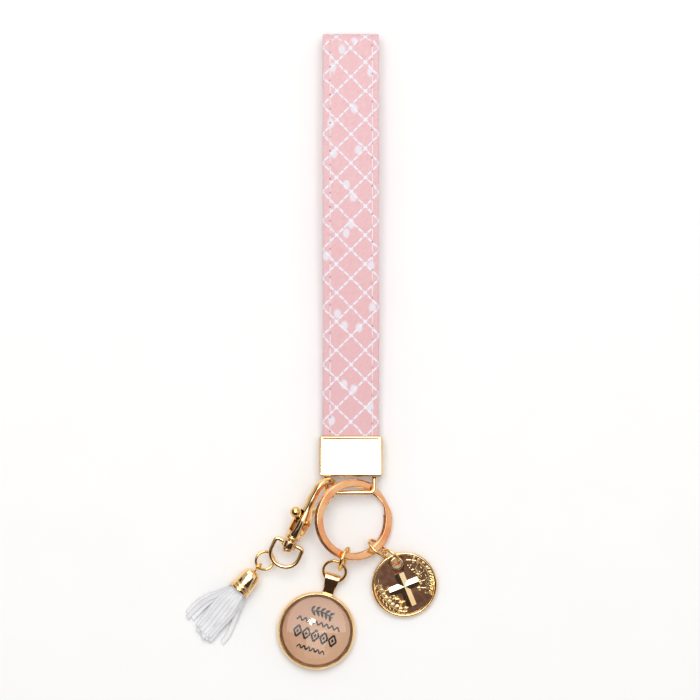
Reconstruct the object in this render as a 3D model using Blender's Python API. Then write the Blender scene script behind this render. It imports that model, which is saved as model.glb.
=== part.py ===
"""A wristlet key chain lying flat: a folded wrist strap in a metal end clamp, a wire bail, a split key
ring with a glass medallion and a coin charm, and a swivel snap hook with a suede tassel.

Lengths are written in millimetres and MM turns them into Blender's metres. The layout is measured from
the strap's centre line (X = 0) and the clamp's lower edge (Y = 0), with the table at Z = 0, and the empty
named wristlet moves it so that the origin is under the middle of the whole object. +Y runs up the strap
and +Z faces away from the table."""

import math

import bpy
import bmesh
from mathutils import Matrix, Vector

MM = 0.001
LAYOUT_SHIFT = Vector((14.97, -47.38, 0.0))

# Strap: two pressed layers, folded at the far end into a loop for the wrist.
STRAP_WIDTH = 21.4
STRAP_END_Y = 168.4
STRAP_START_Y = 3.9
LAYER_HALF = 1.05
LAYER_GAP = 0.15
FOLD_RADIUS = 3.6
FLOOR_LAYER_Z = LAYER_HALF
CLAMPED_SPREAD = 1.2

# End clamp: a folded box of sheet metal.
CLAMP_WIDTH = 24.2
CLAMP_LENGTH = 15.6
CLAMP_HEIGHT = 7.0
CLAMP_WALL = 0.95
CLAMP_CORNER = 1.0
CLAMP_MIDDLE_Z = CLAMP_HEIGHT / 2

# Bail: a rectangle of round wire that turns inside the clamp's spine.
WIRE = 0.9
BAIL_PIVOT = Vector((0.0, 2.1, CLAMP_MIDDLE_Z))
BAIL_LEFT, BAIL_RIGHT = -9.3, 8.9
BAIL_DROP = 8.62
BAIL_TILT = math.radians(18.6)
BAIL_CORNER = 1.8

# Split key ring: two flat coils, tilted about Y because it threads the bail.
KEY_RING_CENTRE = Vector((0.97, -16.42, 6.6))
KEY_RING_TILT = math.radians(20.8)
KEY_RING_RADIUS = 14.0
KEY_RING_BAND = 3.0
COIL_THICKNESS = 1.05
COIL_PITCH = 1.3
COIL_START, JOGGLE_START, JOGGLE_END, COIL_END = 63.0, 375.0, 416.0, 728.0
COIL_STEP = 7.0

# Medallion: a cast tray with a bail, a printed disc and a domed glass.
MEDALLION_CENTRE = Vector((-13.2, -58.7, 0.0))
MEDALLION_LEAN = math.radians(17.0)
TRAY_RADIUS = 14.95
TRAY_INNER = 13.85
TRAY_HEIGHT = 4.2
TRAY_FLOOR = 1.2
PRINT_THICKNESS = 0.25
GLASS_RADIUS = 13.5
GLASS_TOP = 5.3

# Coin charm.
COIN_CENTRE = Vector((20.3, -41.0, 0.0))
COIN_LEAN = math.radians(22.0)
COIN_TILT = math.radians(6.0)
COIN_RADIUS = 12.6
COIN_HEIGHT = 2.1
COIN_GROUND = 1.35
COIN_HOLE = Vector((0.3, 8.7, 0.0))
COIN_HOLE_RADIUS = 1.95

# Jump rings: centre, normal, middle radius and wire radius.
MEDALLION_UPPER = (Vector((-2.64, -31.11, 7.14)), Vector((0.905, -0.39, 0.172)), 4.35, 0.7)
MEDALLION_LOWER = (Vector((-6.22, -35.97, 4.16)), Vector((-0.147, -0.396, 0.906)), 4.35, 0.6)
COIN_UPPER = (Vector((10.2, -27.11, 4.58)), Vector((0.611, 0.716, 0.338)), 4.2, 0.6)
COIN_LOWER = (Vector((15.1, -30.6, 3.93)), Vector((-0.515, -0.702, 0.492)), 3.65, 0.6)
TASSEL_LINK = (Vector((-32.72, -31.91, 4.4)), Vector((0.235, -0.191, 0.953)), 3.5, 0.55)

# Snap hook: its long axis leans to the right and rises a little, and its plane stands at an angle.
CLASP_ORIGIN = Vector((-23.04, -23.89, 7.78))
CLASP_AZIMUTH = math.radians(25.5)
CLASP_RISE = 0.14
CLASP_ROLL = math.radians(45.2)
ARCH_CENTRE = (6.15, 21.5)
ARCH_BACK, ARCH_TIP, ARCH_HIGH = 4.75, 4.0, 4.75
TIP_END_U = 19.7
PIVOT = (1.5, 8.5)
PIVOT_RADIUS = 0.75
SLOT_HALF = 1.15
LEVER_HALF = 0.85
GATE_REACH = 12.6
GATE_ANGLE = math.radians(38.5)
KNOB = (-3.9, 11.0)
KNOB_RADIUS = 2.1
LOOP_WIRE = 0.85
LOOP_HALF_WIDTH = 5.6
LOOP_BAR = -1.5
LOOP_DEPTH = 9.4

# Tassel: an eye pin, a turned cap and a bundle of suede strips.
CAP_TOP = Vector((-36.5, -36.0, 4.5))
CAP_DIRECTION = Vector((-0.65, -0.76, 0.0)).normalized()
CAP_LENGTH = 9.7
CAP_RADIUS = 4.3
CAP_WALL = 0.6
EYE_RADIUS = 1.55
EYE_WIRE = 0.42
FRINGE_LENGTH = 22.5

FRAMES = {}


def clear_scene():
    for obj in list(bpy.data.objects):
        bpy.data.objects.remove(obj, do_unlink=True)


def make_material(name, colour, metallic, roughness):
    material = bpy.data.materials.new(name)
    material.use_nodes = True
    shader = material.node_tree.nodes["Principled BSDF"]
    shader.inputs["Base Color"].default_value = (*colour, 1.0)
    shader.inputs["Metallic"].default_value = metallic
    shader.inputs["Roughness"].default_value = roughness
    return material


def make_object(name, points, faces, material):
    """One mesh object, from points in millimetres, with its faces turned outwards."""
    mesh = bpy.data.meshes.new(name)
    mesh.from_pydata([tuple(Vector(point) * MM) for point in points], [], faces)
    form = bmesh.new()
    form.from_mesh(mesh)
    bmesh.ops.recalc_face_normals(form, faces=form.faces)
    form.to_mesh(mesh)
    form.free()
    mesh.shade_smooth()
    mesh.set_sharp_from_angle(angle=math.radians(35.0))
    if material:
        mesh.materials.append(material)
    obj = bpy.data.objects.new(name, mesh)
    bpy.context.scene.collection.objects.link(obj)
    return obj


def sweep(name, path, across, section, material, closed=False, sizes=None):
    """Carries a section along a path. A section point is (out, over): over lies along the direction
    across, and out is square to it and to the path. sizes scales both at each point of the path."""
    across = Vector(across).normalized()
    count, sides = len(path), len(section)
    points, faces = [], []
    for i, here in enumerate(path):
        before = path[i - 1] if closed or i > 0 else here
        after = path[(i + 1) % count] if closed or i < count - 1 else here
        out = (after - before).cross(across).normalized()
        wide, deep = sizes[i] if sizes else (1.0, 1.0)
        points += [here + out * (a * wide) + across * (b * deep) for a, b in section]
    for i in range(count if closed else count - 1):
        j = (i + 1) % count
        for k in range(sides):
            m = (k + 1) % sides
            faces.append((i * sides + k, i * sides + m, j * sides + m, j * sides + k))
    if not closed:
        faces.append(tuple(range(sides)))
        faces.append(tuple(range((count - 1) * sides, count * sides)))
    return make_object(name, points, faces, material)


def lathe(name, profile, material, steps=48):
    """Turns a profile of (radius, height) points about Z. A point at radius 0 closes the form."""
    points, rows, faces = [], [], []
    for radius, height in profile:
        turns = 1 if radius == 0 else steps
        rows.append([len(points) + i for i in range(turns)])
        for i in range(turns):
            angle = math.tau * i / steps
            points.append((radius * math.cos(angle), radius * math.sin(angle), height))
    pairs = list(zip(rows, rows[1:]))
    if profile[0][0] > 0 and profile[-1][0] > 0:
        pairs.append((rows[-1], rows[0]))
    for lower, upper in pairs:
        for i in range(steps):
            ring = [lower[i % len(lower)], lower[(i + 1) % len(lower)]]
            ring += [upper[(i + 1) % len(upper)], upper[i % len(upper)]]
            faces.append(tuple(dict.fromkeys(ring)))
    return make_object(name, points, faces, material)


def prism(name, outline, low, high, material):
    """Raises an outline of (x, y) points from one height to another."""
    count = len(outline)
    points = [(x, y, low) for x, y in outline] + [(x, y, high) for x, y in outline]
    faces = [tuple(range(count)), tuple(range(count, 2 * count))]
    faces += [(i, (i + 1) % count, count + (i + 1) % count, count + i) for i in range(count)]
    return make_object(name, points, faces, material)


def box_outline(left, right, low, high):
    return [(left, low), (right, low), (right, high), (left, high)]


def rounded_outline(left, right, low, high, radius, steps=4):
    """A rectangle with round corners, counter-clockwise from its lower right corner."""
    points = []
    corners = ((right - radius, low + radius, -90), (right - radius, high - radius, 0),
               (left + radius, high - radius, 90), (left + radius, low + radius, 180))
    for x, y, start in corners:
        for i in range(steps + 1):
            angle = math.radians(start + 90.0 * i / steps)
            points.append((x + radius * math.cos(angle), y + radius * math.sin(angle)))
    return points


def disc_section(radius, sides):
    return [(radius * math.cos(math.tau * i / sides), radius * math.sin(math.tau * i / sides))
            for i in range(sides)]


def chamfered_section(half_out, half_over, cut):
    return [(half_out - cut, -half_over), (half_out, -half_over + cut), (half_out, half_over - cut),
            (half_out - cut, half_over), (-half_out + cut, half_over), (-half_out, half_over - cut),
            (-half_out, -half_over + cut), (-half_out + cut, -half_over)]


def smooth(value, low, high):
    """0 below low, 1 above high and an S-curve between."""
    part = min(max((value - low) / (high - low), 0.0), 1.0)
    return part * part * (3.0 - 2.0 * part)


def combine(obj, tool, operation):
    """Cuts the tool from the object or joins it on, and leaves the tool as a guide."""
    modifier = obj.modifiers.new(tool.name, "BOOLEAN")
    modifier.object = tool
    modifier.operation = operation
    modifier.solver = "EXACT"
    tool.hide_render = True
    tool.display_type = "WIRE"


def bevel_edges(obj, width, segments=2):
    modifier = obj.modifiers.new("soft_edges", "BEVEL")
    modifier.width = width * MM
    modifier.segments = segments
    modifier.limit_method = "ANGLE"
    modifier.angle_limit = math.radians(50.0)


def frame_at(origin, x_axis=(1, 0, 0), z_axis=(0, 0, 1)):
    """A frame in the layout with Z along z_axis and X as near x_axis as it can be."""
    z = Vector(z_axis).normalized()
    x = Vector(x_axis)
    x = (x - z * x.dot(z)).normalized()
    y = z.cross(x)
    rows = [(x[i], y[i], z[i], origin[i] * MM) for i in range(3)]
    return Matrix(rows + [(0, 0, 0, 1)])


def attach(obj, parent, frame):
    """Parents an object, placed by a frame that is given in the layout."""
    obj.parent = parent
    obj.matrix_local = FRAMES[parent.name].inverted() @ frame
    FRAMES[obj.name] = frame
    return obj


def pivot_empty(name, parent, frame):
    empty = bpy.data.objects.new(name, None)
    empty.empty_display_size = 4 * MM
    bpy.context.scene.collection.objects.link(empty)
    return attach(empty, parent, frame)


def make_wristlet_empty():
    empty = bpy.data.objects.new("wristlet", None)
    bpy.context.scene.collection.objects.link(empty)
    empty.location = LAYOUT_SHIFT * MM
    FRAMES["wristlet"] = Matrix.Identity(4)
    return empty


def strap_path():
    """The middle line of the folded strap: out along the table, round the fold and back above."""
    fold_y = STRAP_END_Y - FOLD_RADIUS - LAYER_HALF
    fold_z = FLOOR_LAYER_Z + FOLD_RADIUS
    path = []
    for y in (STRAP_START_Y, 9.0, 16.5, 19, 22, 25, 28, 31, 34, 60, 90, 120, 145):
        spread = 1.0 - smooth(y, 16.5, 34.0)
        low = CLAMP_MIDDLE_Z - CLAMPED_SPREAD
        path.append(Vector((0, y, FLOOR_LAYER_Z + (low - FLOOR_LAYER_Z) * spread)))
    for i in range(13):
        angle = math.radians(-90.0 + 15.0 * i)
        path.append(Vector((0, fold_y + FOLD_RADIUS * math.cos(angle),
                            fold_z + FOLD_RADIUS * math.sin(angle))))
    high, top = CLAMP_MIDDLE_Z + CLAMPED_SPREAD, fold_z + FOLD_RADIUS
    for y in (145, 130, 118, 106, 94, 82, 70, 58, 46, 34, 25, 16.5, 9.0, STRAP_START_Y):
        path.append(Vector((0, y, high + (top - high) * smooth(y, 16.5, 125.0))))
    return path


def make_strap(root, cloth, webbing):
    """The printed cover outside and the plain webbing inside, one strip each."""
    half = STRAP_WIDTH / 2
    layers = (("strap_cover", LAYER_GAP, LAYER_HALF, half, cloth),
              ("strap_webbing", -LAYER_HALF, -LAYER_GAP, half - 0.3, webbing))
    for name, inner, outer, side, material in layers:
        section = [(inner, -side), (outer, -side), (outer, side), (inner, side)]
        attach(sweep(name, strap_path(), (1, 0, 0), section, material), root, Matrix.Identity(4))


def make_clamp(root, gold):
    half = CLAMP_WIDTH / 2
    outline = rounded_outline(-half, half, 0.0, CLAMP_LENGTH, CLAMP_CORNER)
    clamp = prism("end_clamp", outline, 0.0, CLAMP_HEIGHT, gold)
    bevel_edges(clamp, 0.4)
    low, high = CLAMP_WALL, CLAMP_HEIGHT - CLAMP_WALL
    inside = box_outline(-half + CLAMP_WALL, half - CLAMP_WALL, CLAMP_WALL, CLAMP_LENGTH + 2.0)
    cutters = [prism("clamp_hollow", inside, low, high, None)]
    for name, x in (("clamp_slot_left", BAIL_LEFT), ("clamp_slot_right", BAIL_RIGHT)):
        cutters.append(prism(name, box_outline(x - 1.7, x + 1.7, -1.0, 2.0), low, high, None))
    attach(clamp, root, Matrix.Identity(4))
    for cutter in cutters:
        attach(cutter, root, Matrix.Identity(4))
        combine(clamp, cutter, "DIFFERENCE")


def make_bail(root, gold):
    """A closed wire rectangle. Its top bar lies in the clamp and is the joint's axis."""
    down = Vector((0.0, -math.cos(BAIL_TILT), math.sin(BAIL_TILT)))
    frame = frame_at(BAIL_PIVOT, (1, 0, 0), Vector((1, 0, 0)).cross(down))
    empty = pivot_empty("bail_axis", root, frame)
    outline = rounded_outline(BAIL_LEFT, BAIL_RIGHT, 0.0, BAIL_DROP, BAIL_CORNER, 5)
    path = [Vector((x, y, 0)) for x, y in outline]
    bail = sweep("strap_bail", path, (0, 0, 1), disc_section(WIRE, 8), gold, closed=True)
    attach(bail, empty, frame)
    return empty


def key_ring_frame():
    tilt = KEY_RING_TILT
    return frame_at(KEY_RING_CENTRE, (math.cos(tilt), 0, -math.sin(tilt)),
                    (math.sin(tilt), 0, math.cos(tilt)))


def make_key_ring(bail_axis, rose_gold):
    """Two coils side by side, the front one stepping down to the back one along the joggle."""
    empty = pivot_empty("key_ring_axis", bail_axis, key_ring_frame())
    path, turn = [], COIL_START
    while turn <= COIL_END:
        level = COIL_PITCH * (0.5 - smooth(turn, JOGGLE_START, JOGGLE_END))
        angle = math.radians(turn)
        path.append(Vector((KEY_RING_RADIUS * math.cos(angle), KEY_RING_RADIUS * math.sin(angle), level)))
        turn += COIL_STEP
    section = chamfered_section(KEY_RING_BAND / 2, COIL_THICKNESS / 2, 0.22)
    ring = sweep("split_key_ring", path, (0, 0, 1), section, rose_gold)
    attach(ring, empty, key_ring_frame())
    return empty


def make_jump_ring(name, spec, parent, seam, gold, steps=26, sides=8):
    """A cut ring of round wire, its seam turned towards the direction seam."""
    centre, normal, radius, wire = spec
    frame = frame_at(centre, seam, normal)
    opening = math.radians(1.5)
    path = []
    for i in range(steps + 1):
        angle = opening + (math.tau - 2 * opening) * i / steps
        path.append(Vector((radius * math.cos(angle), radius * math.sin(angle), 0)))
    empty = pivot_empty(name + "_axis", parent, frame)
    attach(sweep(name, path, (0, 0, 1), disc_section(wire, sides), gold), empty, frame)
    return empty


def make_medallion(parent, gold, paper, glass):
    up = Vector((math.sin(MEDALLION_LEAN), math.cos(MEDALLION_LEAN), 0))
    frame = frame_at(MEDALLION_CENTRE, (up.y, -up.x, 0))
    r, h = TRAY_RADIUS, TRAY_HEIGHT
    profile = [(0, 0), (r - 1.0, 0), (r, 0.7), (r, h - 0.4), (r - 0.35, h), (r - 0.8, h),
               (TRAY_INNER, h - 0.25), (TRAY_INNER, TRAY_FLOOR), (0, TRAY_FLOOR)]
    tray = attach(lathe("medallion_tray", profile, gold, 48), parent, frame)
    foot = prism("medallion_foot", box_outline(-2.1, 2.1, 14.35, 17.2), 0.9, 3.4, None)
    combine(tray, attach(foot, parent, frame), "UNION")
    outline = rounded_outline(16.9, 22.5, 0.875, 4.325, 1.6, 4)
    path = [Vector((0, y, z)) for y, z in outline]
    flare = [(1.0, 2.3 + 0.65 * smooth(point.y, 17.0, 22.5)) for point in path]
    section = [(-0.32, -1), (0.32, -1), (0.32, 1), (-0.32, 1)]
    loop = sweep("medallion_bail", path, (1, 0, 0), section, None, closed=True, sizes=flare)
    combine(tray, attach(loop, parent, frame), "UNION")
    low = TRAY_FLOOR + 0.3
    disc = [(0, low), (TRAY_INNER - 0.3, low), (TRAY_INNER - 0.3, low + PRINT_THICKNESS),
            (0, low + PRINT_THICKNESS)]
    attach(lathe("medallion_print", disc, paper, 40), parent, frame)
    low += PRINT_THICKNESS + 0.3
    dome = [(0, low), (GLASS_RADIUS - 0.2, low), (GLASS_RADIUS, low + 0.2), (GLASS_RADIUS, 3.7)]
    sag = GLASS_TOP - 3.7
    for i in range(1, 6):
        angle = math.radians(90.0 * i / 6)
        dome.append((GLASS_RADIUS * math.cos(angle), 3.7 + sag * math.sin(angle)))
    dome.append((0, GLASS_TOP))
    attach(lathe("medallion_glass", dome, glass, 36), parent, frame)


def coin_frame():
    up = Vector((-math.sin(COIN_LEAN) * math.cos(COIN_TILT),
                 math.cos(COIN_LEAN) * math.cos(COIN_TILT), math.sin(COIN_TILT)))
    right = Vector((math.cos(COIN_LEAN), math.sin(COIN_LEAN), 0))
    centre = COIN_CENTRE + Vector((0, 0, COIN_RADIUS * math.sin(COIN_TILT)))
    return frame_at(centre, right, right.cross(up))


def gabled_beam(name, start, end, half_width, eave, ridge):
    """A beam of five-sided section between two points, with a ridge along its middle."""
    section = [(-half_width, COIN_GROUND - 0.4), (half_width, COIN_GROUND - 0.4), (half_width, eave),
               (0, ridge), (-half_width, eave)]
    return sweep(name, [Vector((*start, 0)), Vector((*end, 0))], (0, 0, 1), section, None)


def make_coin(parent, gold):
    frame = coin_frame()
    r, h, ground = COIN_RADIUS, COIN_HEIGHT, COIN_GROUND
    profile = [(0, 0), (r - 0.35, 0), (r, 0.35), (r, h - 0.3), (r - 0.3, h), (r - 0.9, h),
               (r - 1.15, h - 0.25), (r - 1.2, ground), (0, ground)]
    coin = attach(lathe("coin_charm", profile, gold, 48), parent, frame)
    x, y = -0.3, -0.6
    upright = gabled_beam("coin_cross_upright", (x, y - 8.0), (x, y + 5.4), 1.8, 1.75, 2.6)
    arms = gabled_beam("coin_cross_arms", (x - 5.9, y), (x + 5.9, y), 1.75, 1.7, 2.5)
    hole_x, hole_y = COIN_HOLE.x, COIN_HOLE.y
    lip_frame = frame @ Matrix.Translation(COIN_HOLE * MM)
    lip = lathe("coin_hole_lip", [(0, 0.8), (2.75, 0.8), (2.75, 1.6), (2.4, 2.0), (0, 2.0)], None, 24)
    hole = lathe("coin_hole", [(0, -1), (COIN_HOLE_RADIUS, -1), (COIN_HOLE_RADIUS, 4), (0, 4)], None, 24)
    combine(coin, attach(upright, parent, frame), "UNION")
    combine(coin, attach(arms, parent, frame), "UNION")
    combine(coin, attach(lip, parent, lip_frame), "UNION")
    combine(coin, attach(hole, parent, lip_frame), "DIFFERENCE")


def clasp_axes():
    """Along is the hook's length, aside points from its back to its opening, both in its plane."""
    along = Vector((math.sin(CLASP_AZIMUTH), math.cos(CLASP_AZIMUTH), CLASP_RISE)).normalized()
    level = Vector((math.cos(CLASP_AZIMUTH), -math.sin(CLASP_AZIMUTH), 0))
    above = level.cross(along)
    aside = level * math.cos(CLASP_ROLL) - above * math.sin(CLASP_ROLL)
    return along, aside


def clasp_frame(w=0.0, u=0.0):
    """The hook's frame at a point of its plane: X to its opening, Y along it, Z square to it."""
    along, aside = clasp_axes()
    return frame_at(CLASP_ORIGIN + aside * w + along * u, aside, aside.cross(along))


def hook_path():
    """Middle line and half sizes (in the plane, across it) from the collar to the hook's tip."""
    shank = [((0.6, 1.0), (2.4, 2.5)), ((0.7, 2.2), (2.75, 2.85)), ((1.0, 4.0), (3.0, 3.15)),
             ((1.3, 7.6), (3.15, 3.2)), ((1.4, 10.6), (2.6, 2.65)), ((1.1, 13.7), (1.6, 1.8)),
             ((1.1, 17.0), (1.35, 1.6)), ((1.25, 19.5), (1.3, 1.5))]
    centre_w, centre_u = ARCH_CENTRE
    arch = []
    for i in range(19):
        angle = math.radians(10.0 * i)
        reach = ARCH_BACK if angle < math.pi / 2 else ARCH_TIP
        point = (centre_w - reach * math.cos(angle), centre_u + ARCH_HIGH * math.sin(angle))
        thin = 1.0 - 0.15 * smooth(i, 9, 18)
        arch.append((point, (1.3 * thin, 1.45 * thin)))
    tip = [((centre_w + ARCH_TIP - 0.1, TIP_END_U + 0.5), (1.05, 1.15)),
           ((centre_w + ARCH_TIP - 0.2, TIP_END_U), (0.8, 0.85))]
    return shank + arch + tip


def make_hook(parent, gold):
    """The casting: barrel, cheeks with a slot for the lever, and the arch with its tip."""
    stations = hook_path()
    path = [Vector((w, u, 0)) for (w, u), _ in stations]
    section = [(math.cos(a), math.sin(a)) for a in [math.radians(18.0 + 36.0 * i) for i in range(10)]]
    hook = sweep("clasp_hook", path, (0, 0, 1), section, gold, sizes=[size for _, size in stations])
    attach(hook, parent, clasp_frame())
    slot = prism("clasp_slot", rounded_outline(-6.0, 8.0, 3.6, 12.6, 0.6), -SLOT_HALF, SLOT_HALF, None)
    groove = prism("clasp_groove", box_outline(0.9, 8.0, 12.0, 17.5), -SLOT_HALF, SLOT_HALF, None)
    hole = lathe("clasp_pin_hole", disc_profile(PIVOT_RADIUS + 0.17, -5, 5), None, 16)
    stud = lathe("clasp_stud", [(0, 2.2), (2.0, 2.2), (2.0, 0.4), (1.1, 0.1), (1.1, -3.6), (1.9, -3.6),
                                (1.9, -4.2), (1.3, -5.0), (0, -5.2)], None, 18)
    collar = lathe("clasp_collar", [(0, 1.9), (2.9, 1.9), (3.1, 1.6), (3.1, 0.9), (2.8, 0.6),
                                    (0, 0.6)], None, 22)
    combine(hook, attach(slot, parent, clasp_frame()), "DIFFERENCE")
    combine(hook, attach(groove, parent, clasp_frame()), "DIFFERENCE")
    combine(hook, attach(hole, parent, clasp_frame(*PIVOT)), "DIFFERENCE")
    combine(hook, attach(collar, parent, swivel_frame()), "UNION")
    combine(hook, attach(stud, parent, swivel_frame()), "UNION")


def disc_profile(radius, low, high):
    return [(0, low), (radius, low), (radius, high), (0, high)]


def swivel_frame():
    """Z along the hook, X level: the swivel's axis."""
    along, aside = clasp_axes()
    level = Vector((math.cos(CLASP_AZIMUTH), -math.sin(CLASP_AZIMUTH), 0))
    return frame_at(CLASP_ORIGIN + aside * 0.6, level, along)


def make_lever(parent, gold):
    """The gate arm, the pivot eye and the thumb knob, one piece that turns on the pin."""
    frame = clasp_frame(*PIVOT)
    empty = pivot_empty("trigger_axis", parent, frame)
    angle = GATE_ANGLE
    end = Vector((GATE_REACH * math.sin(angle), GATE_REACH * math.cos(angle), 0))
    knob = Vector((KNOB[0] - PIVOT[0], KNOB[1] - PIVOT[1], 0))
    section = chamfered_section(1.0, 1.0, 0.35)
    path = [end * (0.1 + 0.15 * i) for i in range(7)]
    sizes = [(1.2 - 0.05 * i, LEVER_HALF) for i in range(7)]
    lever = sweep("clasp_lever", path, (0, 0, 1), section, gold, sizes=sizes)
    attach(lever, empty, frame)
    boss = lathe("lever_boss", disc_profile(1.9, -LEVER_HALF, LEVER_HALF), None, 18)
    arm = sweep("lever_arm", [knob * 0.1, knob * 0.9], (0, 0, 1), section, None,
                sizes=[(1.0, LEVER_HALF - 0.05), (0.85, LEVER_HALF - 0.05)])
    hole = lathe("lever_hole", disc_profile(PIVOT_RADIUS + 0.17, -3, 3), None, 16)
    ball_profile = [(KNOB_RADIUS * math.cos(math.radians(a)), KNOB_RADIUS * math.sin(math.radians(a)))
                    for a in range(-72, 90, 18)]
    ball = lathe("lever_knob", [(0, -KNOB_RADIUS)] + ball_profile + [(0, KNOB_RADIUS)], None, 16)
    combine(lever, attach(boss, empty, frame), "UNION")
    combine(lever, attach(arm, empty, frame), "UNION")
    combine(lever, attach(ball, empty, clasp_frame(*KNOB)), "UNION")
    combine(lever, attach(hole, empty, frame), "DIFFERENCE")
    return empty


def make_pin_and_spring(parent, gold, steel):
    """The riveted pin across the cheeks, and the coil spring that holds the lever shut."""
    profile = [(0, -3.75), (1.25, -3.75), (1.35, -3.45), (PIVOT_RADIUS, -3.4), (PIVOT_RADIUS, 3.4),
               (1.35, 3.45), (1.25, 3.75), (0, 3.75)]
    attach(lathe("clasp_pin", profile, gold, 16), parent, clasp_frame(*PIVOT))
    turns, radius, wire = 3.5, 0.62, 0.13
    low, high = 4.05, 6.2
    path = []
    for i in range(int(turns * 8) + 1):
        angle = math.tau * i / 8
        u = low + (high - low) * i / (turns * 8)
        path.append(Vector((2.4 + radius * math.cos(angle), u, radius * math.sin(angle))))
    spring = helix_tube("clasp_spring", path, wire, steel)
    attach(spring, parent, clasp_frame())


def helix_tube(name, path, wire, material):
    """A four-sided wire along a coil whose axis is Y."""
    points, faces = [], []
    count = len(path)
    middle = Vector((sum(p.x for p in path) / count, 0, 0))
    for here in path:
        out = Vector((here.x - middle.x, 0, here.z)).normalized()
        over = Vector((0, 1, 0))
        points += [here + out * wire, here + over * wire, here - out * wire, here - over * wire]
    for i in range(count - 1):
        for k in range(4):
            m = (k + 1) % 4
            faces.append((i * 4 + k, i * 4 + m, (i + 1) * 4 + m, (i + 1) * 4 + k))
    faces.append((0, 1, 2, 3))
    faces.append(tuple(4 * (count - 1) + k for k in range(4)))
    return make_object(name, points, faces, material)


def make_swivel_loop(parent, gold):
    """A D of round wire whose bar carries an eye for the hook's stud."""
    frame = swivel_frame()
    empty = pivot_empty("swivel_axis", parent, frame)
    bar, half, depth = LOOP_BAR, LOOP_HALF_WIDTH, LOOP_DEPTH
    path = [Vector((-half, 0, bar)), Vector((half, 0, bar))]
    path += [Vector((half, 0, bar - 2.0))]
    bottom = bar - depth
    for i in range(13):
        angle = math.radians(15.0 * i)
        side = half * math.cos(angle)
        path.append(Vector((side, 0, bottom + 5.2 - 5.2 * math.sin(angle))))
    path.append(Vector((-half, 0, bar - 2.0)))
    loop = sweep("swivel_loop", path, (0, 1, 0), disc_section(LOOP_WIRE, 10), gold, closed=True)
    attach(loop, empty, frame)
    eye = lathe("swivel_eye", disc_profile(2.9, bar - 1.7, bar + 1.2), None, 22)
    bore = lathe("swivel_bore", disc_profile(1.4, bar - 3, bar + 3), None, 18)
    combine(loop, attach(eye, empty, frame), "UNION")
    combine(loop, attach(bore, empty, frame), "DIFFERENCE")
    return empty


def tassel_frame(distance=0.0):
    """Z along the tassel, from the cap's top to the fringe's ends; Y up."""
    side = Vector((0, 0, 1)).cross(CAP_DIRECTION)
    return frame_at(CAP_TOP + CAP_DIRECTION * distance, side, CAP_DIRECTION)


def make_tassel(parent, gold, suede):
    frame = tassel_frame()
    r, wall, length = CAP_RADIUS, CAP_WALL, CAP_LENGTH
    outer = [(1.6, 0.0), (2.6, 0.35), (3.3, 1.2), (3.75, 2.6), (3.9, 4.5), (4.0, length - 3.0),
             (3.75, length - 2.8), (4.05, length - 2.5), (4.1, length - 1.6), (3.85, length - 1.35),
             (r, length - 1.0), (r, length - 0.2), (r - 0.2, length)]
    inner = [(3.6, length), (3.35, length - 1.5), (3.3, 3.0), (2.7, 1.6), (1.6, 0.9), (0.65, 0.8),
             (0.65, 0.0)]
    attach(lathe("tassel_cap", outer + inner, gold, 28), parent, frame)
    turn = Vector((0.707, -0.61, -0.35)).normalized()
    normal = (turn + Vector((0, 0, 1)) * 0.6).normalized()
    normal = (normal - CAP_DIRECTION * normal.dot(CAP_DIRECTION)).normalized()
    eye_frame = frame_at(CAP_TOP - CAP_DIRECTION * (EYE_RADIUS + 0.55), -CAP_DIRECTION, normal)
    path = []
    for i in range(19):
        angle = math.radians(-172.0 + 344.0 * i / 18)
        path.append(Vector((EYE_RADIUS * math.cos(angle), EYE_RADIUS * math.sin(angle), 0)))
    eye = sweep("tassel_eye_pin", path, (0, 0, 1), disc_section(EYE_WIRE, 7), gold)
    attach(eye, parent, eye_frame)
    shank = lathe("tassel_eye_shank", [(0, -0.9), (0.35, -0.9), (0.35, 1.15), (1.3, 1.2), (1.3, 1.7),
                                       (0, 1.75)], None, 12)
    combine(eye, attach(shank, parent, frame), "UNION")
    make_fringe(parent, suede)


def make_fringe(parent, suede):
    """The bundle of strips: round inside the cap, then a flat fan that comes to lie on the table."""
    rest = CAP_TOP.z
    stations = []
    for along, wide, thick in ((2.6, 1.9, 1.9), (3.4, 2.7, 2.7), (8.0, 2.9, 2.9), (10.5, 3.4, 3.2),
                               (14.0, 4.3, 3.2), (18.0, 5.3, 2.9), (23.0, 6.2, 2.4),
                               (27.5, 6.9, 1.9), (CAP_LENGTH + FRINGE_LENGTH, 7.2, 1.5)):
        drop = max(0.0, rest - 0.05 - thick) * smooth(along, 9.0, 30.0)
        stations.append((Vector((0, -drop, along)), (wide, thick)))
    path = [point for point, _ in stations]
    section = disc_section(1.0, 18)
    fringe = sweep("tassel_fringe", path, (0, 1, 0), section, suede, sizes=[s for _, s in stations])
    attach(fringe, parent, tassel_frame())


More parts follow.
